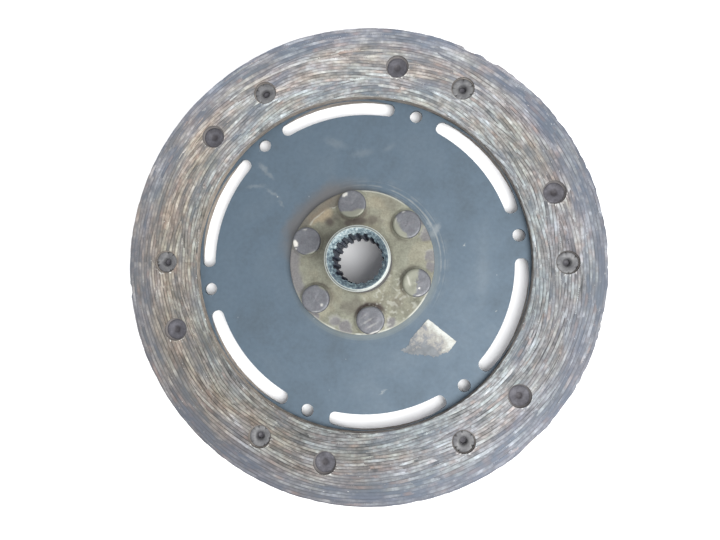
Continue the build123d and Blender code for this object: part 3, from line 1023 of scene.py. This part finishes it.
class CLUTCH_OT_hub_rivets(bpy.types.Operator):
    """Build the solid rivets that hold the hub to the plate."""

    bl_idname = "clutch.hub_rivets"
    bl_label = "Hub Rivets"

    def execute(self, context):
        settings = context.scene.clutch_rivet
        hub = context.scene.clutch_hub
        material = bare_steel(
            "formed_hub_rivet_steel", (*settings.hub_steel, 1.0), "#545358", "#666569", 0.44, 0.6,
            (*hub.grime, 1.0)
        )
        flange = PLATE_TOP + hub.flange_top
        for number, name in enumerate(HUB_RIVETS):
            low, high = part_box(name)
            centre = node_centre(name)
            degrees, share = nearest_side(HUB_RIVET_GRIME, centre)
            radius, rear_radius, shank = HUB_RIVET_RADIUS, 5.0 * MM, 3.15 * MM
            profile = [(0, high.z), (radius - 0.9 * MM, high.z - 0.03 * MM)]
            profile += arc(
                (radius - 0.7 * MM, high.z - 0.05 * MM), (radius, high.z - 0.75 * MM),
                (radius - 0.2 * MM, high.z - 0.26 * MM), 5,
            )
            profile += [(radius, flange), (shank, flange), (shank, PLATE_BOTTOM)]
            profile += [(rear_radius, PLATE_BOTTOM), (rear_radius, low.z + 0.9 * MM)]
            profile += arc(
                (rear_radius, low.z + 0.85 * MM), (rear_radius - 0.9 * MM, low.z + 0.03 * MM),
                (rear_radius - 0.27 * MM, low.z + 0.27 * MM), 5,
            )
            profile += [(0, low.z)]

            def warp(points, number=number, high=high, flange=flange):
                away, turn = polar(points)
                top = smooth(points[:, 2], flange + 1.0 * MM, high.z - 0.3 * MM)
                dents = ring_noise(away, turn, 2.1 * MM, 7, 700 + number)
                points[:, 2] -= top * 0.14 * MM * dents
                return points

            points, faces, local = lathe(refine(profile, 0.4 * MM), settings.around, centre, warp)
            piece = add_piece(f"{name}_worn", points, faces, material)
            turn = math.radians(degrees)
            along = (local[:, 0] * math.cos(turn) + local[:, 1] * math.sin(turn)) / radius
            rough = ring_noise(*polar(local), 1.2 * MM, 11, 800 + number)
            edge = 1 - 2 * share
            caked = 0.9 * smooth(along + 0.26 * (rough - 0.5), edge - 0.10, edge + 0.10)
            low_side = 1 - smooth(local[:, 2], flange + 0.1 * MM, flange + 0.9 * MM)
            low_side *= local[:, 2] > PLATE_BOTTOM
            point_values(piece, "caked", np.clip(np.maximum(caked, 0.75 * low_side), 0, 1))
            above = local[:, 2] > flange + 0.9 * MM
            # Pale scuffs and painted highlights on the head.
            point_values(piece, "pale", scuff_and_highlight_share(points[:, 0], points[:, 1], 77) * above)
            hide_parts(name)
        return {"FINISHED"}


# ---- Hub ----

# Where the flange's grime has worn through to steel: x, y, radius, in millimetres
BARE_PLACES = (
    (-9.8, -22.0, 2.6),
    (-6.0, -24.4, 3.0),
    (11.2, -22.9, 2.3),
    (26.2, 2.4, 2.7),
    (26.0, -1.4, 2.0),
    (24.6, 11.0, 3.2),
    (22.6, 15.6, 2.6),
    (-17.5, -20.6, 2.2),
)
# Where the rim's bare band begins
RUBBED_RADIUS = 22.2 * MM
# Where the rim carries a painted highlight: how much, then degrees and two half widths in radians
RIM_HIGHLIGHT_SIDES = ((1.0, (292, 0.75, 1.15)), (0.6, (72, 0.25, 0.45)), (0.4, (225, 0.3, 0.6)))
# Brown stains on the grime: x, y, length, width, degrees, in millimetres, and how dark
STAINS = (
    (-12.4, 15.2, 4.2, 3.8, 0, 0.85),
    (-15.6, 12.6, 4.5, 3.0, 60, 0.12),
    (-9.4, 17.2, 5.0, 3.6, 20, 0.40),
    (-2.6, 15.3, 11.0, 3.2, 5, 0.85),
    (4.6, 16.0, 6.0, 4.0, 170, 0.60),
    (6.6, 17.0, 1.4, 1.0, 90, 0.45),
    (-12.5, 7.5, 8.0, 4.0, 75, 0.30),
    (19.0, -2.4, 5.0, 3.4, 20, 0.28),
    (10.8, 22.0, 11.0, 5.0, 140, 0.24),
    (-17.6, 18.4, 7.0, 3.0, 45, 0.24),
    (13.2, -15.4, 6.0, 4.4, 30, 0.32),
    (-3.0, -16.5, 13.0, 7.0, 0, 0.44),
    (16.5, -12.0, 4.0, 2.2, 40, 0.25),
)
# Places where oil has turned the grime tan, in the same way
TAN_PLACES = ((-14.8, 17.8, 12.0, 7.0, 38, 1.0), (5.0, 22.0, 10.0, 7.0, 160, 0.35))


def hub_material(hub):
    """Turned and broached steel: a polished nose ring with a painted highlight to the lower right,
    frosty blue-black splines and a dull body.
    """
    material, add = new_material("turned_forged_hub_steel")
    place, parts, flat_place, radius = disc_places(add)
    blotch = add("TexNoise", place, Scale=1 / (3 * MM), Detail=5.0, Roughness=0.62)
    body = add(
        "ValToRGB", blotch, stops=[(0.30, "#4F4D50"), (0.50, (*hub.steel, 1.0)), (0.72, "#696768")],
    )
    # Splines: frosty specks half a millimetre wide on blue-black
    speck = add("TexNoise", place, Scale=1 / (0.9 * MM), Detail=3.0, Roughness=0.7)
    high = add("MapRange", (parts, "Z"), HUB_TOP - 6.5 * MM, HUB_TOP - 1.6 * MM, -0.30, -0.01)
    # It is thickest to the upper left.
    frost_side = add("VectorMath DOT_PRODUCT", flat_place, (-0.45, 0.89, 0.0))
    frost_base = add("Math ADD", add("MapRange", frost_side, 4 * MM, 10 * MM, 0.0, 0.17), high)
    frost_value = add("Math ADD", speck, frost_base)
    splines = add(
        "ValToRGB", frost_value,
        stops=[
            (0.28, "#3A3F50"), (0.42, "#47555E"), (0.53, "#5F6F75"), (0.64, "#839396"),
            (0.78, "#B0B9B9"),
        ],
    )
    in_bore = add(
        "MapRange", radius, hub.nose_radius - 0.95 * MM, hub.nose_radius - 0.75 * MM, 1.0, 0.0,
    )
    inner = add("Mix RGBA", in_bore, A=body, B=splines)
    # The nose's face is rubbed bright.
    near_top = add("MapRange", (parts, "Z"), HUB_TOP - 0.5 * MM, HUB_TOP - 0.25 * MM)
    ring_share = add("Math MULTIPLY", near_top, add("Math SUBTRACT", 1.0, in_bore))
    bright = add("ValToRGB", speck, stops=[(0.3, "#525959"), (0.5, "#676D6A"), (0.7, "#7E847D")])
    ring = add("Mix RGBA", ring_share, A=inner, B=bright)
    # Its two edges are polished to thin lines, and a painted highlight covers its whole width on the
    # lower right side.
    from_middle = add("Math ABSOLUTE", add("Math SUBTRACT", radius, hub.nose_radius - 0.5 * MM))
    edge_line = add("MapRange SMOOTHSTEP", from_middle, 0.16 * MM, 0.34 * MM, 0.0, 0.85)
    highlight_side = add("VectorMath DOT_PRODUCT", flat_place, (0.80, -0.60, 0.0))
    highlight_share = add("MapRange SMOOTHSTEP", highlight_side, 3 * MM, 11 * MM, 0.0, 0.75)
    polish_and_highlight = add("Math MULTIPLY", add("Math MAXIMUM", edge_line, highlight_share), ring_share)
    polished = add("Mix RGBA", polish_and_highlight, A=ring, B="#C6CAC4")
    # Fine turning marks, drawn 0.4 mm apart so that they show
    turned = add(
        "TexWave", Vector=place, Scale=1 / (2 * math.pi * 0.4 * MM) * 0.5, Distortion=0.6, Detail=1.0,
        wave_type="RINGS", rings_direction="Z",
    )
    height = add("Math ADD", (turned, "Fac"), blotch)
    bump = add("Bump", Strength=0.3, Distance=0.05 * MM, Height=height)
    dull = add("MapRange", ring_share, 0.0, 1.0, 0.55, 0.36)
    metal = add("MapRange", ring_share, 0.0, 1.0, 0.30, 0.6)
    add(
        "OutputMaterial",
        Surface=add("BsdfPrincipled", Base_Color=polished, Metallic=metal, Roughness=dull, Normal=bump),
    )
    return material


def grime_material(hub):
    """Dried oil and clutch dust: matt, grainy, olive to tan, with brown stains and bare steel."""
    material, add = new_material("dried_oil_and_clutch_dust")
    place = add("TexCoord")
    blotch = add("TexNoise", place, Scale=1 / (5 * MM), Detail=6.0, Roughness=0.66)
    tone = add(
        "ValToRGB", blotch,
        stops=[(0.26, "#5A5A4E"), (0.43, "#6F6F62"), (0.57, (*hub.grime, 1.0)), (0.74, "#88887C")],
    )
    # Oil has left some of it tan.
    oil = add("TexNoise", place, Scale=1 / (11 * MM), Detail=3.0)
    oil_share = add("MapRange SMOOTHSTEP", oil, 0.48, 0.66, 0.0, 0.2)
    tan = add("Attribute", attribute_name="tan")
    oiled = add("Mix RGBA", add("Math MAXIMUM", oil_share, tan), A=tone, B="#8A7F6A")
    bare = add("Attribute", attribute_name="bare")
    worn = add("Mix RGBA", bare, A=oiled, B=(*hub.steel, 1.0))
    # Grains half a millimetre wide
    grain = add("TexNoise", place, Scale=1 / (0.8 * MM), Detail=3.0, Roughness=0.7)
    grainy = add("VectorMath SCALE", worn, Scale=add("MapRange", grain, 0.3, 0.7, 0.82, 1.16))
    stained = add("Mix RGBA", add("Attribute", attribute_name="stain"), A=grainy, B="#48403C")
    # Pale crusts, grit and the rim's painted highlights.
    colour = add("Mix RGBA", add("Attribute", attribute_name="pale"), A=stained, B="#A8A9A0")
    dull = add("MapRange", bare, 0.0, 1.0, 0.82, 0.5)
    bump = add("Bump", Strength=0.5, Distance=0.08 * MM, Height=grain)
    add(
        "OutputMaterial",
        Surface=add("BsdfPrincipled", Base_Color=colour, Roughness=dull, Normal=bump, IOR=1.45),
    )
    return material


def add_crust(name, x, y, top, under, material):
    """A closed crust between two heights, over rings of places that run outwards or inwards."""
    rows, columns = x.shape
    points = np.concatenate([np.column_stack([x.ravel(), y.ravel(), z.ravel()]) for z in (top, under)])
    upper, lower = (
        [list(range(start + i * columns, start + (i + 1) * columns)) for i in range(rows)]
        for start in (0, rows * columns)
    )
    faces = []
    for near, far in (
        *zip(upper, upper[1:]), *zip(lower[1:], lower), (lower[0], upper[0]), (upper[-1], lower[-1]),
    ):
        faces.extend(bridge(near, far) if x[0, 0] < x[-1, 0] else bridge(far, near))
    return add_piece(name, points, faces, material, 180)


def finish_body(name, material):
    """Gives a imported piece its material."""
    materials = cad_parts[name].data.materials
    materials.clear()
    materials.append(material)


class CLUTCH_OT_hub(bpy.types.Operator):
    """Finish the hub and cake its flange with grime."""

    bl_idname = "clutch.hub"
    bl_label = "Hub and Grime"

    def execute(self, context):
        hub = context.scene.clutch_hub
        material = hub_material(hub)
        finish_body("hub", material)
        self.scale_splines(hub, material)
        self.cake_flange(hub)
        return {"FINISHED"}

    def scale_splines(self, hub, material):
        """Scale and dried grease that lines the lead-in and bridges the mouths of the grooves."""
        columns, rows = 400, 14
        angles = full_turn(columns)
        mouth = hub.nose_radius - 1.0 * MM
        reach = edge_noise(angles, 34, 51) + 0.6 * edge_noise(angles, 110, 52)
        tip = mouth - (1.98 - 0.75 * reach / 1.6) * MM
        share = np.linspace(0, 1, rows)[:, None]
        radius = (mouth - 0.08 * MM) * (1 - share) + tip[None, :] * share
        angle = np.broadcast_to(angles, radius.shape)
        x, y = on_circle(radius, angle)
        cone = HUB_TOP - (mouth - radius)
        lumps = ring_noise(radius, angle, 0.7 * MM, 90, 53)
        top = cone + (0.03 + 0.20 * lumps * np.sin(math.pi * np.clip(share + 0.08, 0, 1))) * MM
        under = cone - (0.1 + 0.7 * share * (1 - 0.5 * share)) * MM
        add_crust("spline_scale", x, y, top, under, material)

    def cake_flange(self, hub):
        """A thin crust that follows the flange's face, its rounded rim and the nose's fillet."""
        columns, rows = 480, 84
        angles = full_turn(columns)
        inner, outer = hub.nose_radius + 0.03 * MM, FLANGE_RADIUS - 0.04 * MM
        radii = np.linspace(inner, outer, rows)
        radius, angle = np.meshgrid(radii, angles, indexing="ij")
        face = PLATE_TOP + hub.flange_top
        root, edge = 2.5 * MM, 0.5 * MM
        reach = np.clip(hub.nose_radius + root - radius, 0, root)
        rise = root - np.sqrt(root**2 - reach**2)
        over = np.clip(radius - (FLANGE_RADIUS - edge), 0, edge * 0.999)
        drop = edge - np.sqrt(edge**2 - over**2)
        base = face + rise - drop
        x, y = on_circle(radius, angle)
        rough = ring_noise(radius, angle, 2.2 * MM, 52, 31)
        fine = ring_noise(radius, angle, 0.8 * MM, 150, 32)
        ragged = 0.5 * (rough - 0.5) + 0.35 * (fine - 0.5)
        bare = np.zeros_like(x)
        for centre_x, centre_y, size in BARE_PLACES:
            away = np.hypot(x / MM - centre_x, y / MM - centre_y) / size
            bare = np.maximum(bare, 0.9 * (1 - smooth(away + ragged, 0.6, 1.2)))
        crusted = 4 * bare * (1 - bare)
        # The left side of the rim is rubbed bare.
        frayed_radius = radius + 1.8 * MM * ragged
        rubbed = towards(angle, 188, 0.25, 0.50) * smooth(frayed_radius, RUBBED_RADIUS, 24.6 * MM)
        bare = np.maximum(bare, 0.85 * rubbed)
        lumps = ring_noise(radius, angle, 4.5 * MM, 24, 33)
        thick = hub.grime_thickness * (1 - 0.8 * bare) * (0.35 + 0.35 * lumps + 0.3 * fine * rough)
        top = base + 0.02 * MM + thick
        stain = blots(x, y, STAINS, rough)
        # Dust is banked up against the rivets, and the flange is darker between each rivet and the
        # nose.
        for name in HUB_RIVETS:
            centre_x, centre_y = node_centre(name)
            away = np.hypot(x - centre_x, y - centre_y)
            bank = 1 - smooth(away, HUB_RIVET_RADIUS, 6.5 * MM)
            top += 1.2 * MM * bank * (0.7 + 0.3 * rough)
            strength = nearest_side(CRESCENTS, (centre_x, centre_y))
            inward = -((x - centre_x) * centre_x + (y - centre_y) * centre_y)
            inward = inward / (np.maximum(away, 1 * MM) * math.hypot(centre_x, centre_y))
            crescent = smooth(inward, 0.1, 0.7) * (
                1 - smooth(away + 0.8 * MM * rough, 6.1 * MM, 8.0 * MM)
            )
            stain = np.maximum(stain, strength * crescent)
        piece = add_crust("flange_grime", x, y, top, base - 0.25 * MM, grime_material(hub))

        # Soot runs in from the plate over the upper left of the rim.
        limit = RUBBED_RADIUS + 1.8 * MM * smooth(np.degrees(angle) % 360, 106, 124)
        soot = towards(angle, 128, 0.30, 0.62) * smooth(frayed_radius - limit, -0.7 * MM, 0.9 * MM)
        # Painted shade: the grime is darker in the corner at the foot of the nose.
        by_nose = 1 - smooth(radius, 11.5 * MM, 12.8 * MM)
        stain = np.maximum.reduce([stain, 0.6 * soot, 0.30 * by_nose])
        tan = blots(x, y, TAN_PLACES, rough)
        rim = smooth(radius, FLANGE_RADIUS - 0.8 * MM, FLANGE_RADIUS - 0.35 * MM)
        broken = smooth(edge_noise(angle, 40, 35), 0.25, 0.6)
        # The rim's painted highlights, side by side.
        highlight_side = np.maximum.reduce(
            [share * towards(angle, *side) for share, side in RIM_HIGHLIGHT_SIDES]
        )
        grit = smooth(ring_noise(radius, angle, 0.8 * MM, 150, 36), 0.62, 0.85)
        pale = np.maximum.reduce(
            [
                # Crusts follow the edges of the bare places and of the soot.
                0.2 * crusted * smooth(rough, 0.35, 0.65),
                0.5 * (1 - smooth(np.abs(soot - 0.5), 0.1, 0.4)) * smooth(fine, 0.4, 0.8),
                # Grit lies in the grime to the lower right, and the rim carries painted highlights,
                # brightest to the lower right.
                0.4 * towards(angle, 308, 0.35, 0.85) * grit,
                rim * (0.3 + 0.7 * broken) * highlight_side,
            ]
        )
        for name, values in (("stain", stain), ("bare", bare), ("tan", tan), ("pale", pale)):
            point_values(piece, name, np.tile(values.ravel(), 2))


# ---- Carrier plate ----


# Marks on the plate: x, y, length, width, degrees, in millimetres, and how pale
PLATE_MARKS = (
    (-38.6, 36.6, 5.5, 2.4, 128, 0.22),
    (-36.0, 34.0, 4.0, 1.6, 135, 0.17),
    (-41.5, 29.6, 7.0, 1.4, 5, 0.15),
    (-34.6, 26.8, 6.0, 1.2, 145, 0.17),
    (-31.6, 22.6, 3.4, 1.1, 118, 0.15),
    (-32.9, 25.5, 0.9, 0.7, 0, 0.80),
    (-44.5, -40.0, 0.9, 0.7, 60, 0.75),
    (50.0, -18.0, 0.8, 0.6, 0, 0.60),
    (38.6, 6.8, 0.9, 0.7, 0, 0.60),
    (8.0, -48.6, 3.4, 0.8, 32, 0.30),
    (0.0, 42.0, 8.0, 3.0, 10, 0.10),
    (-10.5, 46.0, 9.0, 3.4, 160, 0.10),
    (10.0, 44.0, 5.0, 2.4, 30, 0.08),
    (27.6, 12.4, 5.5, 3.0, 65, 0.34),
    (25.6, 14.6, 4.0, 1.6, 120, 0.30),
    (45.0, -4.0, 26.0, 5.0, 88, 0.05),
)


def plate_material(plate):
    """Phosphated sheet steel: satin blue-grey, softly mottled, sooty and scuffed round the hub."""
    material, add = new_material("phosphated_sheet_steel")
    place, _, flat_place, radius = disc_places(add)
    # Clouds 14 mm across, and mottling of 1.5 mm
    cloud = add("TexNoise", place, Scale=1 / (14 * MM), Detail=4.0, Roughness=0.55)
    mottle = add("TexNoise", place, Scale=1 / (1.5 * MM), Detail=3.0, Roughness=0.6)
    tone = add(
        "ValToRGB", cloud, stops=[(0.28, "#44515B"), (0.50, (*plate.steel, 1.0)), (0.72, "#4C5A65")],
    )
    steel = add("VectorMath SCALE", tone, Scale=add("MapRange", mottle, 0.3, 0.7, 0.93, 1.07))
    # Soot spreads from under the flange, furthest to the upper left.
    reach_side = add("VectorMath DOT_PRODUCT", flat_place, (-0.62, 0.78, 0.0))
    soot_side = add("MapRange", reach_side, 12 * MM, 29 * MM, -5 * MM, 3.2 * MM)
    soot_edge = add("Math ADD", soot_side, add("MapRange", cloud, 0.3, 0.7, -1.6 * MM, 1.6 * MM))
    soot_radius = add("Math SUBTRACT", radius, soot_edge)
    soot = add(
        "MapRange SMOOTHSTEP", soot_radius, FLANGE_RADIUS - 1.0 * MM, FLANGE_RADIUS + 4.6 * MM, 0.78,
        0.0,
    )
    sooty = add("Mix RGBA", soot, A=steel, B=(*plate.soot, 1.0))
    # Scuffs run round the flange, strongest to the upper right.
    scuff_wave = add("TexNoise 1D", W=radius, Scale=1 / (0.7 * MM), Detail=2.0)
    scuff_sum = add("Math ADD", scuff_wave, add("TexNoise", place, Scale=1 / (5 * MM), Detail=3.0))
    scuff_lines = add("MapRange", scuff_sum, 0.98, 1.24)
    scuff_near = add("MapRange SMOOTHSTEP", radius, FLANGE_RADIUS + 7 * MM, FLANGE_RADIUS + 1 * MM)
    scuff_side_value = add("VectorMath DOT_PRODUCT", flat_place, (0.82, 0.57, 0.0))
    scuff_side = add("MapRange", scuff_side_value, 8 * MM, 28 * MM, 0.03, 0.62)
    scuff = add("Math MULTIPLY", add("Math MULTIPLY", scuff_lines, scuff_near), scuff_side)
    scuffed = add("Mix RGBA", scuff, A=sooty, B="#858886")
    # A pale dusty band lies round the flange, clearest below it.
    halo_radius = add("Math MULTIPLY_ADD", scuff_wave, 2.4 * MM, radius)
    halo = add("MapRange SMOOTHSTEP", halo_radius, FLANGE_RADIUS + 4.6 * MM, FLANGE_RADIUS + 1.6 * MM)
    halo_side_value = add("VectorMath DOT_PRODUCT", flat_place, (0.42, -0.91, 0.0))
    halo_side = add("MapRange", halo_side_value, -4 * MM, 22 * MM, 0.04, 0.34)
    haloed = add("Mix RGBA", add("Math MULTIPLY", halo, halo_side), A=scuffed, B="#7E8279")
    # Smudges and flecks of dried dirt, with ragged edges
    ragged = add("VectorMath SUBTRACT", (mottle, "Color"), (0.5, 0.5, 0.5))
    ragged_place = add("VectorMath MULTIPLY_ADD", ragged, (2.6 * MM, 2.6 * MM, 0.0), flat_place)
    marked = None
    for x, y, length, width, degrees, strength in PLATE_MARKS:
        local = add(
            "Mapping", Vector=ragged_place, Location=(x * MM, y * MM, 0.0),
            Rotation=(0.0, 0.0, math.radians(degrees)), Scale=(length * MM / 2, width * MM / 2, 1.0),
            vector_type="TEXTURE",
        )
        share = add("MapRange SMOOTHSTEP", add("VectorMath LENGTH", local), 1.5, 0.2, 0.0, strength)
        marked = share if marked is None else add("Math MAXIMUM", marked, share)
    smudged = add("Mix RGBA", marked, A=haloed, B="#9A9D9A")
    # Dust specks a third of a millimetre wide
    dust = add("TexVoronoi", Vector=place, Scale=1 / (9 * MM), Randomness=1.0)
    dusty = add("Mix RGBA", add("MapRange", dust, 0.02, 0.04, 0.45, 0.0), A=smudged, B="#81878B")
    dull = add("MapRange", cloud, 0.3, 0.7, 0.62, 0.5)
    bump = add("Bump", Strength=0.25, Distance=0.03 * MM, Height=mottle)
    add(
        "OutputMaterial",
        Surface=add("BsdfPrincipled", Base_Color=dusty, Metallic=0.25, Roughness=dull, Normal=bump),
    )
    return material


def scrap_material():
    """Aged foil-faced paper: a silvery cream that has rubbed through to grey in blots."""
    material, add = new_material("aged_foil_paper")
    place = add("TexCoord")
    # Blots about 2 mm across
    blot = add("TexNoise", place, Scale=1 / (2.8 * MM), Detail=5.0, Roughness=0.68)
    whole = add("Math MULTIPLY_ADD", blot, 2.2, add("Attribute", attribute_name="rubbed"))
    tone = add(
        "ValToRGB", whole,
        stops=[
            (0.25, "#B4B6B1"), (0.50, "#9D9E97"), (0.72, "#888680"), (0.90, "#737373"),
            (1.0, "#606467"),
        ],
    )
    dull = add("MapRange", blot, 0.4, 0.6, 0.75, 0.45)
    bump = add("Bump", Strength=0.4, Distance=0.05 * MM, Height=blot)
    add(
        "OutputMaterial",
        Surface=add("BsdfPrincipled", Base_Color=tone, Metallic=0.15, Roughness=dull, Normal=bump),
    )
    return material


# The first three corners are cut; the rest of the outline is torn.
SCRAP_CORNERS = (
    (24.9, -21.1),
    (35.4, -29.4),
    (32.2, -33.6),
    (27.5, -35.0),
    (22.6, -34.5),
    (18.4, -34.3),
    (14.6, -32.7),
    (17.6, -31.2),
    (18.3, -28.7),
)


class CLUTCH_OT_plate(bpy.types.Operator):
    """Finish the carrier plate and stick a torn scrap of blank label to it."""

    bl_idname = "clutch.plate"
    bl_label = "Carrier Plate"

    def execute(self, context):
        plate = context.scene.clutch_plate
        finish_body("carrier_plate", plate_material(plate))
        self.stick_scrap(plate)
        return {"FINISHED"}

    def stick_scrap(self, plate):
        """A thin torn sheet with a frayed outline."""
        numbers = np.random.default_rng(12)
        outline = []
        corners = [np.array(c) * MM for c in SCRAP_CORNERS]
        for side, (start, end) in enumerate(zip(corners, corners[1:] + corners[:1])):
            steps = max(2, round(np.linalg.norm(end - start) / (0.35 * MM)))
            normal = np.array([end[1] - start[1], start[0] - end[0]]) / np.linalg.norm(end - start)
            for step in range(steps):
                torn = numbers.normal(0, 0.25 if 1 < side < 7 else 0.05) * MM * (0 < step < steps)
                outline.append(start + (end - start) * step / steps + normal * torn)
        edge = np.array(outline)
        low, high = edge.min(axis=0), edge.max(axis=0)
        gx, gy = np.meshgrid(np.arange(low[0], high[0], 0.3 * MM), np.arange(low[1], high[1], 0.3 * MM))
        inside = self.inside(edge, gx.ravel(), gy.ravel(), 0.25 * MM)
        grid = np.column_stack([gx.ravel(), gy.ravel()])[inside]
        flat = [tuple(p) for p in np.concatenate([edge, grid])]
        loop = list(range(len(edge)))
        sheet = triangles_between(flat, loop_edges(loop), lambda x, y: self.inside(edge, x, y, 0))
        xy = np.array(flat)
        radius, angle = polar(xy)
        wrinkle = ring_noise(radius, angle, 1.6 * MM, 110, 44) + 0.5 * ring_noise(
            radius, angle, 5 * MM, 36, 45,
        )
        top = PLATE_TOP + plate.scrap_thickness * (0.5 + 1.4 * wrinkle)
        points = np.concatenate(
            [np.column_stack([xy, top]), np.column_stack([xy, np.full(len(xy), PLATE_TOP - 0.02 * MM)])]
        )
        count = len(xy)
        faces = [tuple(t) for t in sheet.tolist()]
        faces += [(a + count, c + count, b + count) for a, b, c in sheet.tolist()]
        faces += [(b, a, a + count, b + count) for a, b in loop_edges(loop)]
        piece = add_piece("label_scrap", points, faces, scrap_material(), 35)
        # It is whole along the upper right edge, and worn to a film of glue at the lower left.
        x, y = xy[:, 0] / MM - SCRAP_CORNERS[0][0], xy[:, 1] / MM - SCRAP_CORNERS[0][1]
        inward, along = -0.62 * x - 0.785 * y, 0.785 * x - 0.62 * y
        rubbed = 0.25 + 0.03 * inward + 0.07 * np.maximum(-8 - y, 0) - 0.06 * np.maximum(along - 8, 0)
        rubbed = np.clip(rubbed * smooth(inward, 0.0, 3.0), 0, 1) - 0.75
        point_values(piece, "rubbed", np.tile(rubbed, 2))

    def inside(self, edge, x, y, margin):
        """Which points lie inside a closed outline, and no nearer to it than margin."""
        crossed = np.zeros(len(x), bool)
        clear = np.full(len(x), True)
        for (ax, ay), (bx, by) in zip(edge, np.roll(edge, -1, axis=0)):
            spans = (ay > y) != (by > y)
            with np.errstate(divide="ignore", invalid="ignore"):
                crossed ^= spans & (x < (bx - ax) * (y - ay) / (by - ay) + ax)
            if margin:
                clear &= np.hypot(x - ax, y - ay) > margin
        return crossed & clear


# ---- Stage ----


class CLUTCH_OT_stage(bpy.types.Operator):
    """Set up the pale floor, the soft light and the camera."""

    bl_idname = "clutch.stage"
    bl_label = "Stage"

    def execute(self, context):
        scene, stage = context.scene, context.scene.clutch_stage
        half = stage.floor_size / 2
        mesh = bpy.data.meshes.new("floor")
        drop = FLOOR - 0.05 * MM
        mesh.from_pydata(
            [(-half, -half, drop), (half, -half, drop), (half, half, drop), (-half, half, drop)], [],
            [(0, 1, 2, 3)],
        )
        floor = bpy.data.objects.new("floor", mesh)
        scene.collection.objects.link(floor)
        paper, add = new_material("matt_white_paper")
        fibre = add("TexNoise", add("TexCoord"), Scale=1 / (4 * MM), Detail=3.0)
        shade = add("MapRange", fibre, 0.0, 1.0, 0.985)
        colour = add("VectorMath SCALE", (*stage.floor_colour,), Scale=shade)
        add("OutputMaterial", Surface=add("BsdfPrincipled", Base_Color=colour, Roughness=0.9))
        mesh.materials.append(paper)

        world = bpy.data.worlds.new("soft_white_room")
        world.use_nodes = True
        background = world.node_tree.nodes["Background"]
        background.inputs["Color"].default_value = linear("#FAFBFF")
        background.inputs["Strength"].default_value = 0.95
        scene.world = world
        self.add_light("broad_window", (0.275, -0.215, 0.61), 0.50, 7.3)

        camera = bpy.data.objects.new("camera", bpy.data.cameras.new("camera"))
        scene.collection.objects.link(camera)
        camera.location = stage.camera_place
        camera.rotation_euler = stage.camera_turn
        camera.data.lens = stage.focal_length
        camera.data.sensor_width = 36
        camera.data.clip_start = 10 * MM
        scene.camera = camera
        scene.view_settings.view_transform = "Standard"
        return {"FINISHED"}

    def add_light(self, name, place, size, power):
        """A soft square light that looks at the disc."""
        light = bpy.data.lights.new(name, "AREA")
        light.shape = "SQUARE"
        light.size = size
        light.energy = power
        holder = bpy.data.objects.new(name, light)
        bpy.context.scene.collection.objects.link(holder)
        holder.location = place
        holder.rotation_euler = (-Vector(place)).to_track_quat("-Z", "Y").to_euler()


class CLUTCH_PT_panel(bpy.types.Panel):
    """The steps that build the disc."""

    bl_label = "Clutch Disc"
    bl_idname = "CLUTCH_PT_panel"
    bl_space_type = "VIEW_3D"
    bl_region_type = "UI"
    bl_category = "Clutch Disc"

    def draw(self, context):
        for settings, step in STEPS:
            box = self.layout.box()
            group = getattr(context.scene, settings)
            for name in group.__annotations__:
                box.prop(group, name)
            box.operator(step)


SETTINGS = {
    "clutch_facing": ClutchFacingSettings, "clutch_plate": ClutchPlateSettings,
    "clutch_hub": ClutchHubSettings, "clutch_rivet": ClutchRivetSettings,
    "clutch_stage": ClutchStageSettings,
}
STEPS = (
    ("clutch_facing", "clutch.facings"),
    ("clutch_rivet", "clutch.facing_rivets"),
    ("clutch_plate", "clutch.plate"),
    ("clutch_hub", "clutch.hub"),
    ("clutch_rivet", "clutch.hub_rivets"),
    ("clutch_stage", "clutch.stage"),
)
CLASSES = (
    *SETTINGS.values(), CLUTCH_OT_facings, CLUTCH_OT_facing_rivets, CLUTCH_OT_plate, CLUTCH_OT_hub,
    CLUTCH_OT_hub_rivets, CLUTCH_OT_stage, CLUTCH_PT_panel,
)


def register():
    """Adds the settings, the steps and the panel to Blender."""
    for each in CLASSES:
        bpy.utils.register_class(each)
    for name, group in SETTINGS.items():
        setattr(bpy.types.Scene, name, PointerProperty(type=group))


def unregister():
    """Takes them out again."""
    for name in SETTINGS:
        delattr(bpy.types.Scene, name)
    for each in reversed(CLASSES):
        bpy.utils.unregister_class(each)


def main():
    """Builds everything in order."""
    register()
    bpy.ops.clutch.facings()
    bpy.ops.clutch.facing_rivets()
    bpy.ops.clutch.plate()
    bpy.ops.clutch.hub()
    bpy.ops.clutch.hub_rivets()
    bpy.ops.clutch.stage()


if __name__ == "__main__":
    main()
